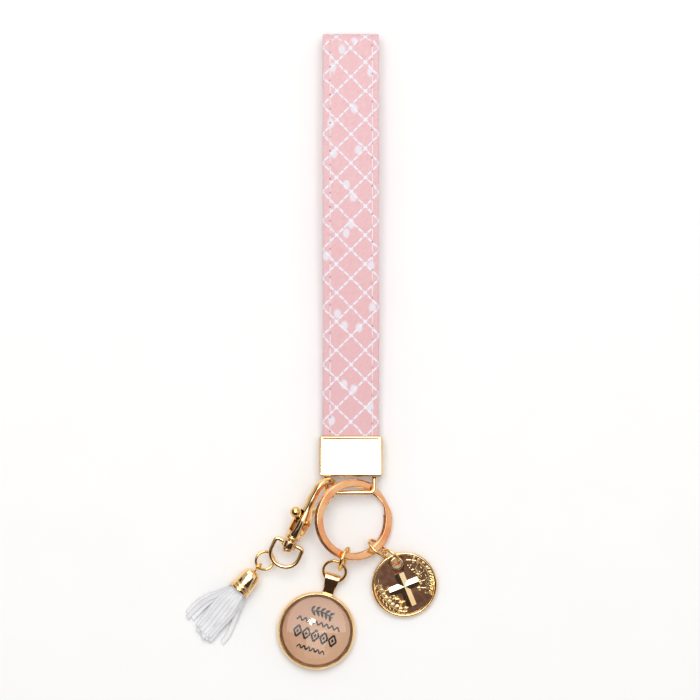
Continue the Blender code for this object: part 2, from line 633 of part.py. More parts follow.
def main():
    clear_scene()
    gold = make_material("polished_gold", (0.83, 0.62, 0.36), 1.0, 0.16)
    rose_gold = make_material("rose_gold", (0.80, 0.48, 0.33), 1.0, 0.2)
    steel = make_material("spring_steel", (0.55, 0.55, 0.55), 1.0, 0.35)
    cloth = make_material("printed_cloth", (0.88, 0.55, 0.57), 0.0, 0.85)
    webbing = make_material("plain_webbing", (0.86, 0.56, 0.58), 0.0, 0.9)
    paper = make_material("printed_paper", (0.76, 0.50, 0.37), 0.0, 0.6)
    glass = make_material("domed_glass", (0.95, 0.93, 0.92), 0.0, 0.05)
    suede = make_material("white_suede", (0.85, 0.85, 0.86), 0.0, 0.9)

    root = make_wristlet_empty()
    make_strap(root, cloth, webbing)
    make_clamp(root, gold)
    bail = make_bail(root, gold)
    key_ring = make_key_ring(bail, rose_gold)

    upper = make_jump_ring("medallion_upper_ring", MEDALLION_UPPER, key_ring, (0.39, 0.92, 0.5), gold)
    lower = make_jump_ring("medallion_lower_ring", MEDALLION_LOWER, upper, (-1, 0.1, 0), gold)
    make_medallion(lower, gold, paper, glass)
    upper = make_jump_ring("coin_upper_ring", COIN_UPPER, key_ring, (-0.5, 0.6, 0.6), gold)
    lower = make_jump_ring("coin_lower_ring", COIN_LOWER, upper, (0.3, 0.4, 0.8), gold)
    make_coin(lower, gold)

    clasp = pivot_empty("clasp_axis", bail, frame_at((BAIL_LEFT, -6.1, 6.15)))
    make_hook(clasp, gold)
    make_lever(clasp, gold)
    make_pin_and_spring(clasp, gold, steel)
    swivel = make_swivel_loop(clasp, gold)
    link = make_jump_ring("tassel_link_ring", TASSEL_LINK, swivel, (-0.7, 0.7, 0), gold)
    make_tassel(link, gold, suede)


main()
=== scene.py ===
"""The looks of the wristlet key chain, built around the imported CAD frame.

Lengths are millimetres in the layout: X from the strap's centre line, Y from the clamp's lower edge, Z from
the table. MM turns them into Blender's metres and ORIGIN, read from the frame, places them."""

import random
from math import atan2, cos, exp, hypot, pi, radians, sin, sqrt, tau

import bpy
import bmesh
from mathutils import Matrix, Vector, noise


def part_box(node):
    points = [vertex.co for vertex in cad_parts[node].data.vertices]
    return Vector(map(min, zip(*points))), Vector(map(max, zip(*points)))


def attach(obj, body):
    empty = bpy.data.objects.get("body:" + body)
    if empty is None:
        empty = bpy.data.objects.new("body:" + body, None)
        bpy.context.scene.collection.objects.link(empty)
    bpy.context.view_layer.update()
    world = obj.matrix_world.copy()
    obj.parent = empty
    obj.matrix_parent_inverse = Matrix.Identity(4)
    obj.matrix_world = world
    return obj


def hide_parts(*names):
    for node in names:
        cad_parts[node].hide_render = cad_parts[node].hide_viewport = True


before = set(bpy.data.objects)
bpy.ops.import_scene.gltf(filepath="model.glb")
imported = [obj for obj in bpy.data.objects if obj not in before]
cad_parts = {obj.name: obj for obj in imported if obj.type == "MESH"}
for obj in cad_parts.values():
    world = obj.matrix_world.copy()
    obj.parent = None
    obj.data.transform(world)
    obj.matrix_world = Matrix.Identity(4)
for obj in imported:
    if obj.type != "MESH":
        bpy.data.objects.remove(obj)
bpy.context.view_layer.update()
MM = 0.001
CLAMP_LOW, CLAMP_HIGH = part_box("end_clamp")
ORIGIN = Vector(((CLAMP_LOW.x + CLAMP_HIGH.x) / 2, CLAMP_LOW.y, 0.0))
UP = Vector((0, 0, 1))


# ---- mesh helpers

def smooth(value, low, high):
    """0 below low, 1 above high and an S-curve between."""
    part = min(max((value - low) / (high - low), 0.0), 1.0)
    return part * part * (3.0 - 2.0 * part)


def mix(a, b, part):
    return a + (b - a) * part


def frame_at(origin, x_axis=(1, 0, 0), z_axis=(0, 0, 1)):
    """A frame in the layout with Z along z_axis and X as near x_axis as it can be."""
    z = Vector(z_axis).normalized()
    x = Vector(x_axis)
    x = (x - z * x.dot(z)).normalized()
    y = z.cross(x)
    rows = [(x[i], y[i], z[i], origin[i]) for i in range(3)]
    return Matrix(rows + [(0, 0, 0, 1)])


HERE = Matrix.Identity(4)


def shade(mesh, angle):
    """Smooth shading, except across edges sharper than angle."""
    mesh.shade_smooth()
    mesh.set_sharp_from_angle(angle=radians(angle))


def build(name, form, material, place=HERE, angle=35.0, uvs=None):
    """One object from (points, faces) in millimetres, put in place in the layout."""
    points, faces = form
    mesh = bpy.data.meshes.new(name)
    mesh.from_pydata([ORIGIN + (place @ Vector(p)) * MM for p in points], [], faces)
    if uvs:
        layer = mesh.uv_layers.new(name="cloth")
        for loop in mesh.loops:
            layer.data[loop.index].uv = uvs[loop.vertex_index]
    work = bmesh.new()
    work.from_mesh(mesh)
    bmesh.ops.recalc_face_normals(work, faces=work.faces)
    work.to_mesh(mesh)
    work.free()
    shade(mesh, angle)
    if material:
        mesh.materials.append(material)
    obj = bpy.data.objects.new(name, mesh)
    bpy.context.scene.collection.objects.link(obj)
    return obj


def join_forms(forms):
    """Several (points, faces) as one."""
    points, faces = [], []
    for more_points, more_faces in forms:
        start = len(points)
        points += [tuple(p) for p in more_points]
        faces += [tuple(start + k for k in face) for face in more_faces]
    return points, faces


def moved(form, place):
    points, faces = form
    return [place @ Vector(p) for p in points], faces


def grid_faces(rows, columns, closed_rows, closed_columns, caps=True):
    faces = []
    for i in range(rows if closed_rows else rows - 1):
        j = (i + 1) % rows
        for k in range(columns if closed_columns else columns - 1):
            m = (k + 1) % columns
            faces.append((i * columns + k, i * columns + m, j * columns + m, j * columns + k))
    if caps and not closed_rows:
        faces.append(tuple(range(columns)))
        faces.append(tuple((rows - 1) * columns + k for k in range(columns)))
    return faces


def sweep(path, across, section, closed=False, sizes=None):
    """Carries a section along a path. A section point is (out, over), and over lies along across.
    section may be a function of the station's index."""
    across = Vector(across).normalized()
    count = len(path)
    points = []
    sides = len(section(0)) if callable(section) else len(section)
    for i, here in enumerate(path):
        before = path[i - 1] if closed or i > 0 else here
        after = path[(i + 1) % count] if closed or i < count - 1 else here
        out = (after - before).cross(across).normalized()
        wide, deep = sizes[i] if sizes else (1.0, 1.0)
        ring = section(i) if callable(section) else section
        points += [here + out * (a * wide) + across * (b * deep) for a, b in ring]
    return points, grid_faces(count, sides, closed, True)


def lathe(profile, steps=96):
    """Turns a profile of (radius, height) points about Z. A point at radius 0 closes the form."""
    points, rows, faces = [], [], []
    for radius, height in profile:
        turns = 1 if radius == 0 else steps
        rows.append([len(points) + i for i in range(turns)])
        for i in range(turns):
            angle = tau * i / steps
            points.append((radius * cos(angle), radius * sin(angle), height))
    pairs = list(zip(rows, rows[1:]))
    if profile[0][0] > 0 and profile[-1][0] > 0:
        pairs.append((rows[-1], rows[0]))
    for lower, upper in pairs:
        for i in range(steps):
            ring = [lower[i % len(lower)], lower[(i + 1) % len(lower)]]
            ring += [upper[(i + 1) % len(upper)], upper[i % len(upper)]]
            faces.append(tuple(dict.fromkeys(ring)))
    return points, faces


def soften(profile, radius, steps=3, closed=False):
    """Rounds the corners of an outline of 2-D points with small curves."""
    result = []
    count = len(profile)
    for i, here in enumerate(profile):
        if not closed and i in (0, count - 1):
            result.append(tuple(here))
            continue
        here = Vector(here)
        back = Vector(profile[i - 1]) - here
        ahead = Vector(profile[(i + 1) % count]) - here
        cut = min(radius, back.length * 0.45, ahead.length * 0.45)
        start, end = here + back.normalized() * cut, here + ahead.normalized() * cut
        for k in range(steps + 1):
            t = k / steps
            point = start * (1 - t) ** 2 + here * (2 * t * (1 - t)) + end * t ** 2
            result.append((point.x, point.y))
    return result


def prism(outline, low, high):
    count = len(outline)
    points = [(x, y, low) for x, y in outline] + [(x, y, high) for x, y in outline]
    faces = [tuple(range(count)), tuple(range(count, 2 * count))]
    faces += [(i, (i + 1) % count, count + (i + 1) % count, count + i) for i in range(count)]
    return points, faces


def box_outline(left, right, low, high):
    return [(left, low), (right, low), (right, high), (left, high)]


def arc(x, y, radius, start, end, steps):
    """Points on a circle round (x, y), from start to end in degrees."""
    angles = [radians(mix(start, end, i / steps)) for i in range(steps + 1)]
    return [(x + radius * cos(a), y + radius * sin(a)) for a in angles]


def rounded_outline(left, right, low, high, radius, steps=6):
    corners = ((right - radius, low + radius, -90), (right - radius, high - radius, 0),
               (left + radius, high - radius, 90), (left + radius, low + radius, 180))
    return [p for x, y, start in corners for p in arc(x, y, radius, start, start + 90, steps)]


def cylinder(radius, low, high, steps):
    return lathe([(0, low), (radius, low), (radius, high), (0, high)], steps)


def shaped(points, z=0.0):
    """Outline points as vectors at a height."""
    return [Vector((x, y, z)) for x, y in points]


def stacked(left, right, low, high, radius, levels):
    """A rounded rectangle carried through levels of (inset, height)."""
    points, columns = [], 0
    for inset, height in levels:
        outline = rounded_outline(left + inset, right - inset, low + inset, high - inset,
                                  max(radius - inset, 0.3))
        columns = len(outline)
        points += [(x, y, height) for x, y in outline]
    return points, grid_faces(len(levels), columns, False, True)


def disc_section(radius, sides=20):
    return [(radius * cos(tau * i / sides), radius * sin(tau * i / sides))
            for i in range(sides)]


def squared_section(power, sides=36):
    """A unit circle pushed towards a square: power 2 is round and 5 nearly square."""
    ring = []
    for i in range(sides):
        angle = tau * (i + 0.5) / sides
        c, s = cos(angle), sin(angle)
        reach = (abs(c) ** power + abs(s) ** power) ** (-1.0 / power)
        ring.append((c * reach, s * reach))
    return ring


def spaced(points, count):
    """count points at even spacing on a smooth curve through the given ones."""
    points = [Vector(p) for p in points]
    ends = [points[0] * 2 - points[1]] + points + [points[-1] * 2 - points[-2]]
    fine = []
    for i in range(1, len(ends) - 2):
        a, b, c, d = ends[i - 1:i + 3]
        for k in range(16):
            t = k / 16
            fine.append(0.5 * (2 * b + (c - a) * t + (2 * a - 5 * b + 4 * c - d) * t * t
                               + (3 * b - 3 * c + d - a) * t ** 3))
    fine.append(points[-1])
    lengths = [0.0]
    for a, b in zip(fine, fine[1:]):
        lengths.append(lengths[-1] + (b - a).length)
    result, at = [], 0
    for k in range(count):
        want = lengths[-1] * k / (count - 1)
        while at < len(fine) - 2 and lengths[at + 1] < want:
            at += 1
        span = lengths[at + 1] - lengths[at]
        part = (want - lengths[at]) / span if span else 0.0
        result.append(fine[at].lerp(fine[at + 1], min(max(part, 0.0), 1.0)))
    return result


def apply_modifiers(obj):
    """Turns what the modifiers show into the object's own mesh."""
    graph = bpy.context.evaluated_depsgraph_get()
    graph.update()
    mesh = bpy.data.meshes.new_from_object(obj.evaluated_get(graph))
    old = obj.data
    obj.modifiers.clear()
    obj.data = mesh
    bpy.data.meshes.remove(old)


def cut_and_join(obj, tools):
    """Booleans with throw-away tools, each (form, place, operation)."""
    made = []
    for i, (form, place, operation) in enumerate(tools):
        tool = build(f"{obj.name}_tool_{i}", form, None, place)
        made.append(tool)
        modifier = obj.modifiers.new("cut", "BOOLEAN")
        modifier.object = tool
        modifier.operation = operation
        modifier.solver = "EXACT"
    apply_modifiers(obj)
    for tool in made:
        mesh = tool.data
        bpy.data.objects.remove(tool)
        bpy.data.meshes.remove(mesh)


def round_edges(obj, width, segments=3, angle=38.0):
    """Rounds the hard edges, so that each catches a line of light."""
    modifier = obj.modifiers.new("edges", "BEVEL")
    modifier.width = width * MM
    modifier.segments = segments
    modifier.limit_method = "ANGLE"
    modifier.angle_limit = radians(angle)
    modifier.use_clamp_overlap = True
    apply_modifiers(obj)
    flat_normals(obj, 30.0)


def flat_normals(obj, angle):
    """Smooth shading that keeps the big faces flat between their rounded edges."""
    shade(obj.data, angle)
    modifier = obj.modifiers.new("normals", "WEIGHTED_NORMAL")
    modifier.keep_sharp = True
    apply_modifiers(obj)


def finish_piece(obj, body, slot, *nodes):
    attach(obj, body)
    if nodes:
        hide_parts(*nodes)
    return obj


# ---- materials

class Value:
    """A socket's value, so that arithmetic with nodes reads as plain arithmetic."""

    def __init__(self, nodes, socket):
        self.nodes, self.socket = nodes, socket

    def __add__(self, other):
        return self.nodes.math("ADD", self, other)

    def __sub__(self, other):
        return self.nodes.math("SUBTRACT", self, other)

    def __mul__(self, other):
        return self.nodes.math("MULTIPLY", self, other)

    def __truediv__(self, other):
        return self.nodes.math("DIVIDE", self, other)


class Nodes:
    """A material's nodes, written as short calls."""

    def __init__(self, name):
        self.material = bpy.data.materials.new(name)
        self.material.use_nodes = True
        self.tree = self.material.node_tree
        self.shader = self.tree.nodes["Principled BSDF"]

    def link(self, value, socket):
        if isinstance(value, Value):
            self.tree.links.new(value.socket, socket)
        else:
            socket.default_value = value

    def add(self, kind, inputs, output=0, **settings):
        node = self.tree.nodes.new("ShaderNode" + kind)
        for key, value in settings.items():
            setattr(node, key, value)
        for key, value in inputs.items():
            self.link(value, node.inputs[key])
        return Value(self, node.outputs[output])

    def math(self, operation, a, b=0.0):
        return self.add("Math", {0: a, 1: b}, operation=operation)

    def ramp(self, value, low, high, start=0.0, end=1.0):
        """A soft step: start below low and end above high."""
        return self.add("MapRange", {"Value": value, "From Min": low, "From Max": high, "To Min": start,
                                     "To Max": end}, interpolation_type="SMOOTHSTEP")

    def blend(self, part, a, b):
        return self.add("Mix", {"Factor": part, 6: a, 7: b}, 2, data_type="RGBA")

    def coats(self, colour, *coats):
        """A colour with each coat of (part, colour) blended over it in turn."""
        for part, coat in coats:
            colour = self.blend(part, colour, coat)
        return colour

    def place(self, kind="Object"):
        return self.add("TexCoord", {}, kind)

    def split(self, kind):
        """The X and Y of a texture place."""
        node = self.tree.nodes.new("ShaderNodeSeparateXYZ")
        self.link(self.place(kind), node.inputs[0])
        return Value(self, node.outputs[0]), Value(self, node.outputs[1])

    def noise(self, scale, detail=3.0, roughness=0.55, where=None):
        return self.add("TexNoise", {"Vector": where or self.place(), "Scale": scale, "Detail": detail,
                                     "Roughness": roughness})

    def bump(self, height, distance, strength=1.0):
        return self.add("Bump", {"Height": height, "Distance": distance, "Strength": strength})

    def set(self, **inputs):
        for key, value in inputs.items():
            self.link(value, self.shader.inputs[key.replace("_", " ")])
        return self.material


def rgb(red, green, blue):
    """A linear colour from the 0-255 numbers of a screen."""
    linear = [(c / 255 / 12.92) if c / 255 <= 0.04045 else ((c / 255 + 0.055) / 1.055) ** 2.4
              for c in (red, green, blue)]
    return (*linear, 1.0)


def polished(name, light, deep, roughness, ripple=0.25):
    """Plated metal: faint cloudy colour, a polish that varies, and a casting's soft ripples."""
    n = Nodes(name)
    wear = n.noise(1900.0, 3.0)
    return n.set(Base_Color=n.blend(n.ramp(n.noise(90.0, 4.0), 0.35, 0.7), light, deep), Metallic=1.0,
                 Roughness=n.ramp(wear, 0.4, 0.75, 0.0, 0.07) + roughness,
                 Normal=n.bump(n.noise(420.0, 1.5) + wear * 0.06, 0.00012 * ripple))


def printed_cloth(width, length, lattice_start):
    """Pink twill with a dashed lattice, soft dots and painted shade at the needle holes of two stitch lines.
    """
    across, along = LATTICE_CELL
    line_gap = across * along / hypot(across, along)
    n = Nodes("printed_twill")
    u, v = n.split("UV")
    x, y = u * width - width / 2, v * length
    where = n.add("CombineXYZ", {0: x, 1: y})
    drift = n.noise(0.22, 2.0, where=where) - 0.5
    first = (drift * 1.1 + x) / across
    second = (drift * -0.8 + (y - lattice_start)) / along
    rising, falling = first + second, first - second
    ragged = (n.noise(2.6, 2.0, where=where) - 0.5) * 0.42

    def from_whole(value, size):
        return n.math("ABSOLUTE", n.math("FRACT", value + 0.5) - 0.5) * size

    dashes, lines = [], []
    for main, other in ((rising, falling), (falling, rising)):
        off_line = from_whole(main, line_gap) + ragged
        off_dash = from_whole(other * 3.0, line_gap / 3)
        dashes.append(n.ramp(off_line, 0.20, 0.40, 1.0, 0.0) * n.ramp(off_dash, 0.80, 1.12, 1.0, 0.15))
        lines.append(n.ramp(off_line - 0.06, 0.26, 0.62, 1.0, 0.0))
    cell_place = n.add("CombineXYZ", {0: x, 1: y * 0.76})
    off_dot = n.add("TexVoronoi", {"Vector": cell_place, "Scale": 1 / DOT_CELL, "Randomness": 0.85},
                    "Distance", voronoi_dimensions="2D") * DOT_CELL + ragged * 1.3
    ribs = n.math("ABSOLUTE", n.math("FRACT", (x + y) / 0.62) * 2.0 - 1.0)
    threads = n.noise(3.6, 3.0, 0.7, where=where)
    slanted = n.add("CombineXYZ", {0: (x + y) * 1.5, 1: (x - y) * 0.28})
    streaks = n.noise(1.0, 2.0, 0.6, where=slanted)
    colour = n.coats(rgb(239, 206, 208),
                     # painted shade: the top layer darkens from the fold towards the clamp end
                     (n.ramp(y, length * 0.5, length), rgb(229, 188, 191)),
                     (n.ramp(threads, 0.34, 0.72), rgb(228, 180, 184)),
                     (n.ramp(streaks, 0.38, 0.66, 0.0, 0.55), rgb(224, 170, 175)),
                     (ribs * 0.14, rgb(214, 156, 162)),
                     (n.math("MAXIMUM", *lines) * 0.55, rgb(214, 196, 214)),
                     (n.ramp(off_dot, 0.85, 1.75, 0.92, 0.0), rgb(229, 225, 233)),
                     (n.math("MAXIMUM", *dashes) * 0.95, rgb(240, 235, 240)))
    # Painted shade: dark spots at the needle holes between the stitches of each line.
    for line_x, start in STITCH_LINES:
        beside = n.ramp(n.math("ABSOLUTE", x - line_x), 0.2, 0.42, 1.0, 0.0)
        step = from_whole((y - start) / STITCH_PITCH, STITCH_PITCH)
        colour = n.blend(beside * n.ramp(step, 0.18, 0.5, 0.75, 0.0), colour, rgb(150, 84, 92))
    return n.set(Base_Color=colour, Roughness=n.ramp(threads, 0.3, 0.8, 0.78, 0.92), Sheen_Weight=0.12,
                 Sheen_Roughness=0.5, Normal=n.bump(ribs * 0.7 + threads * 0.8, 0.00006, 0.8))


def plain_weave(name, light, deep, pitch, width, length):
    """A plain over-and-under weave on the cloth's own coordinates."""
    n = Nodes(name)
    u, v = n.split("UV")
    over = (n.math("SINE", u * (width * tau / pitch))
            * n.math("SINE", v * (length * tau / pitch)))
    mottled = n.blend(n.ramp(n.noise(900.0, 3.0), 0.35, 0.7), light, deep)
    return n.set(Base_Color=n.blend(n.ramp(over, -0.8, 0.8) * 0.25, mottled, deep),
                 Roughness=n.ramp(over, -1.0, 1.0, 0.8, 0.95), Normal=n.bump(over, 0.00008, 0.7))


def thread(name, colour, shade):
    """Sewing thread: two plies seen as slanting stripes."""
    n = Nodes(name)
    x, y = n.split("Object")
    ply = n.math("SINE", (x + y) * (tau / 0.0005))
    return n.set(Base_Color=n.blend(n.ramp(ply, -1.0, 1.0), colour, shade),
                 Roughness=n.ramp(ply, -1.0, 1.0, 0.6, 0.8), Normal=n.bump(ply, 0.00004, 0.6))


def suede(name):
    """White suede with a short brushed nap, with painted shade at a strip's edges (U) and darker by its tint
    (V).
    """
    n = Nodes(name)
    edge, tint = n.split("UV")
    nap = n.noise(5200.0, 4.0, 0.75)
    colour = n.coats(rgb(251, 251, 252),
                     (n.ramp(n.noise(320.0, 3.0), 0.35, 0.7), rgb(238, 238, 241)),
                     (n.ramp(nap, 0.35, 0.75, 0.0, 0.5), rgb(224, 223, 226)),
                     (n.ramp(tint, 0.0, 1.0, 0.0, 0.55), rgb(220, 219, 223)),
                     # painted shade between strips: darker towards each strip's edges
                     (n.ramp(edge, 0.45, 1.0, 0.0, 0.60), rgb(192, 191, 195)))
    return n.set(Base_Color=colour, Roughness=n.ramp(nap, 0.3, 0.8, 0.85, 0.97), Sheen_Weight=0.25,
                 Normal=n.bump(nap, 0.00012, 0.6))


def printed_disc(name):
    """Satin peach paper, a little darker towards one side, with fine grain."""
    n = Nodes(name)
    x, y = n.split("Object")
    low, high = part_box("medallion_print")
    grain = n.noise(2600.0, 4.0, 0.7)
    colour = n.coats(rgb(220, 168, 134),
                     (n.ramp(x - y, low.x - high.y, high.x - low.y), rgb(242, 200, 166)),
                     (n.ramp(grain, 0.4, 0.75, 0.0, 0.35), rgb(212, 164, 132)))
    return n.set(Base_Color=colour, Specular_IOR_Level=0.15,
                 Roughness=n.ramp(grain, 0.3, 0.8, 0.45, 0.65), Normal=n.bump(grain, 0.00002, 0.4))


def mottled(name, scale, detail, part, light, deep, rough, relief=None, **uniform):
    """One noise that blends two colours and varies the polish. relief is the bump's (distance, strength)."""
    n = Nodes(name)
    cloud = n.noise(scale, detail)
    if relief:
        n.set(Normal=n.bump(cloud, *relief))
    return n.set(Base_Color=n.blend(n.ramp(cloud, *part), light, deep),
                 Roughness=n.ramp(cloud, 0.3, 0.8, *rough), **uniform)


def painted_dark_ground(name):
    """The coin's recessed ground: plating darkened as a painted dark reflection, with a pearly grain."""
    n = Nodes(name)
    grain = n.noise(3600.0, 4.0, 0.7)
    colour = n.coats(rgb(132, 96, 74), (n.ramp(n.noise(300.0, 2.0), 0.3, 0.7), rgb(104, 70, 52)),
                     (n.ramp(grain, 0.4, 0.7, 0.0, 0.6), rgb(84, 54, 40)))
    return n.set(Base_Color=colour, Metallic=0.85, Roughness=n.ramp(grain, 0.3, 0.8, 0.34, 0.46),
                 Normal=n.bump(grain, 0.00005, 0.5))


GOLD = polished("light_gold", rgb(252, 218, 166), rgb(244, 200, 142), 0.06)
WARM_GOLD = polished("warm_gold", rgb(250, 210, 142), rgb(240, 190, 116), 0.07)
ROSE = polished("rose_gold_plate", rgb(246, 196, 146), rgb(236, 156, 108), 0.14, 0.15)
# Painted highlight: a lighter copy of the gold for the coin's cross and wreath, so the relief reads as lit.
LIT_RELIEF_GOLD = polished("relief_gold_painted_highlight", rgb(255, 236, 194), rgb(252, 218, 164), 0.12, 0.5)
STEEL = polished("spring_wire", rgb(190, 188, 184), rgb(160, 158, 154), 0.25)
# Painted reflection: the coin's ground is coloured dark brown to stand for the dark surroundings it reflects.
DARK_GROUND_PAINT = painted_dark_ground("painted_dark_ground_material")
INK = mottled("dark_ink", 4000.0, 3.0, (0.35, 0.75), rgb(16, 10, 8), rgb(34, 21, 16), (0.5, 0.7),
              Specular_IOR_Level=0.05)
GLASS = mottled("clear_dome", 160.0, 2.0, (0.3, 0.7), (1.0, 0.99, 0.98, 1.0), (0.99, 0.975, 0.96, 1.0),
                (0.0, 0.02), (0.00003, 0.3), Transmission_Weight=1.0, IOR=1.46, Specular_IOR_Level=0.12)
# Painted shade: the seat's brown stands for the dark ring of shade and reflection under the glass edge.
SHADE_RING_PAINT = mottled("seat_painted_shade", 420.0, 3.0, (0.35, 0.7), rgb(176, 118, 70), rgb(136, 84, 46),
                 (0.42, 0.56), (0.00004, 0.5), Metallic=0.35)


# ---- strap

STRAP_WIDTH = 21.4
STRAP_END_Y, STRAP_START_Y = 168.4, 3.9
LAYER_HALF, LAYER_GAP, FOLD_RADIUS = 1.05, 0.15, 3.6
CLAMP_MIDDLE_Z, CLAMPED_SPREAD = 3.5, 1.2
STITCH_LINES = ((-7.9, 1.5), (8.15, 4.1))
STITCH_PITCH = 5.3
LATTICE_Y, LATTICE_CELL, DOT_CELL = 20.8, (10.9, 10.88), 10.6


def strap_path():
    """The middle line of the folded strap: out along the table, round the fold and back above."""
    fold_y = STRAP_END_Y - FOLD_RADIUS - LAYER_HALF
    fold_z = LAYER_HALF + FOLD_RADIUS
    points = []
    for y in (STRAP_START_Y, 9.0, 16.5, 19, 22, 25, 28, 31, 34, 60, 90, 120, 145):
        spread = 1.0 - smooth(y, 16.5, 34.0)
        low = CLAMP_MIDDLE_Z - CLAMPED_SPREAD
        points.append(Vector((0, y, LAYER_HALF + (low - LAYER_HALF) * spread)))
    points += [Vector((0, y, z)) for y, z in arc(fold_y, fold_z, FOLD_RADIUS, -90, 90, 12)]
    high, top = CLAMP_MIDDLE_Z + CLAMPED_SPREAD, fold_z + FOLD_RADIUS
    for y in (145, 130, 118, 106, 94, 82, 70, 58, 46, 34, 25, 16.5, 9.0, STRAP_START_Y):
        points.append(Vector((0, y, high + (top - high) * smooth(y, 16.5, 125.0))))
    return points


def path_length(path):
    return sum((b - a).length for a, b in zip(path, path[1:]))


def strap_side(along, side):
    """How far the cloth's edge wanders in or out, in millimetres."""
    return 0.16 * noise.noise(Vector((along * 0.03, side * 7.0, 0.0)))


def make_strap_layer(name, inner, outer, half, material, sewn):
    """A closed strip between two distances from the middle line, its long edges rounded."""
    path = spaced(strap_path(), 330)
    length = path_length(path)
    step = length / (len(path) - 1)
    spots = [i / 20.0 - 1.0 for i in range(41)]

    def outer_height(x, along):
        groove = 0.0
        for line_x, start in STITCH_LINES:
            off = abs(x - line_x)
            pull = 0.75 + 0.25 * cos(tau * (along - start) / STITCH_PITCH)
            groove = max(groove, exp(-(off / 0.6) ** 2) * 0.24 * pull)
        edge = smooth(abs(x), half - 0.7, half)
        ripple = 0.05 * noise.noise(Vector((x * 0.35, along * 0.12, 4.0)))
        return (outer - 0.02) - (groove if sewn else 0.0) - 0.34 * edge * edge + ripple * (1 - edge)

    def section(i):
        along = i * step
        left = -half + strap_side(along, -1)
        right = half + strap_side(along, 1) - 0.1
        ring = []
        for spot in spots:
            x = mix(left, right, (spot + 1) / 2)
            ring.append((outer_height(x, along), x))
        for spot in reversed(spots):
            x = mix(left, right, (spot + 1) / 2)
            ring.append((inner + 0.2 * smooth(abs(x), half - 0.5, half), x))
        return ring

    uvs = [((x + STRAP_WIDTH / 2) / STRAP_WIDTH, i * step / length)
           for i in range(len(path)) for _, x in section(i)]
    return build(name, sweep(path, (1, 0, 0), section), material, uvs=uvs, angle=60.0)


def capsule(start, end, up, half_width, half_height, rings=5, sides=8):
    """A short fat stitch of thread, thicker in its middle and tucked in at its ends."""
    start, end = Vector(start), Vector(end)
    side = (end - start).cross(up).normalized()
    points, faces = [], []
    for i in range(rings):
        t = i / (rings - 1)
        swell = sin(pi * mix(0.12, 0.88, t)) ** 0.5
        here = start.lerp(end, t) + up * (half_height * 0.9 * sin(pi * t) - half_height * 0.6)
        for k in range(sides):
            angle = tau * k / sides
            points.append(here + side * (half_width * swell * cos(angle))
                          + up * (half_height * swell * sin(angle)))
    return points, grid_faces(rings, sides, False, True)


def make_stitching(material):
    """Two rows of running stitches, on the top face and on the table's side."""
    path = spaced(strap_path(), 660)
    length = path_length(path)
    step = length / (len(path) - 1)

    def on_surface(along):
        i = min(max(int(along / step), 1), len(path) - 2)
        forward = (path[i + 1] - path[i - 1]).normalized()
        out = forward.cross(Vector((1, 0, 0))).normalized()
        return path[i] + out * (LAYER_HALF - 0.16), out

    forms = []
    for line_x, start in STITCH_LINES:
        along = start
        while along + STITCH_PITCH < length:
            if along > 10.0 and along + STITCH_PITCH < length - 11.0:
                a, up = on_surface(along + 0.45)
                b, _ = on_surface(along + STITCH_PITCH - 0.45)
                shift = Vector((line_x, 0, 0))
                forms.append(capsule(a + shift, b + shift, up, 0.22, 0.17))
            along += STITCH_PITCH
    return build("strap_stitching", join_forms(forms), material, angle=80.0)


def make_strap():
    length = path_length(spaced(strap_path(), 330))
    cloth = printed_cloth(STRAP_WIDTH, length, length - (LATTICE_Y - STRAP_START_Y))
    cover = make_strap_layer("strap_printed_cover", LAYER_GAP, LAYER_HALF, STRAP_WIDTH / 2, cloth, True)
    finish_piece(cover, "strap", "printed_cloth", "strap_cover")
    weave = plain_weave("pink_webbing", rgb(240, 190, 194), rgb(222, 164, 170), 0.9, STRAP_WIDTH, length)
    lining = make_strap_layer("strap_lining", -LAYER_HALF, -LAYER_GAP, STRAP_WIDTH / 2 - 0.3, weave, False)
    finish_piece(lining, "strap", "plain_webbing", "strap_webbing")
    stitches = make_stitching(thread("white_thread", rgb(252, 248, 250), rgb(228, 218, 228)))
    finish_piece(stitches, "strap", "printed_cloth")


# ---- clamp, bail and rings

CLAMP_WIDTH, CLAMP_LENGTH, CLAMP_HEIGHT, CLAMP_WALL = 24.2, 15.6, 7.0, 0.95
BAIL_PIVOT = Vector((0.0, 2.1, CLAMP_MIDDLE_Z))
BAIL_LEFT, BAIL_RIGHT, BAIL_DROP = -9.3, 8.9, 8.62
BAIL_TILT = radians(18.6)
WIRE = 0.9
KEY_RING_CENTRE = Vector((0.97, -16.42, 6.6))
KEY_RING_TILT = radians(20.8)
KEY_RING_RADIUS, KEY_RING_BAND, COIL_THICKNESS, COIL_PITCH = 14.0, 3.0, 1.05, 1.3
COIL_START, JOGGLE_START, JOGGLE_END, COIL_END = 63.0, 375.0, 416.0, 728.0


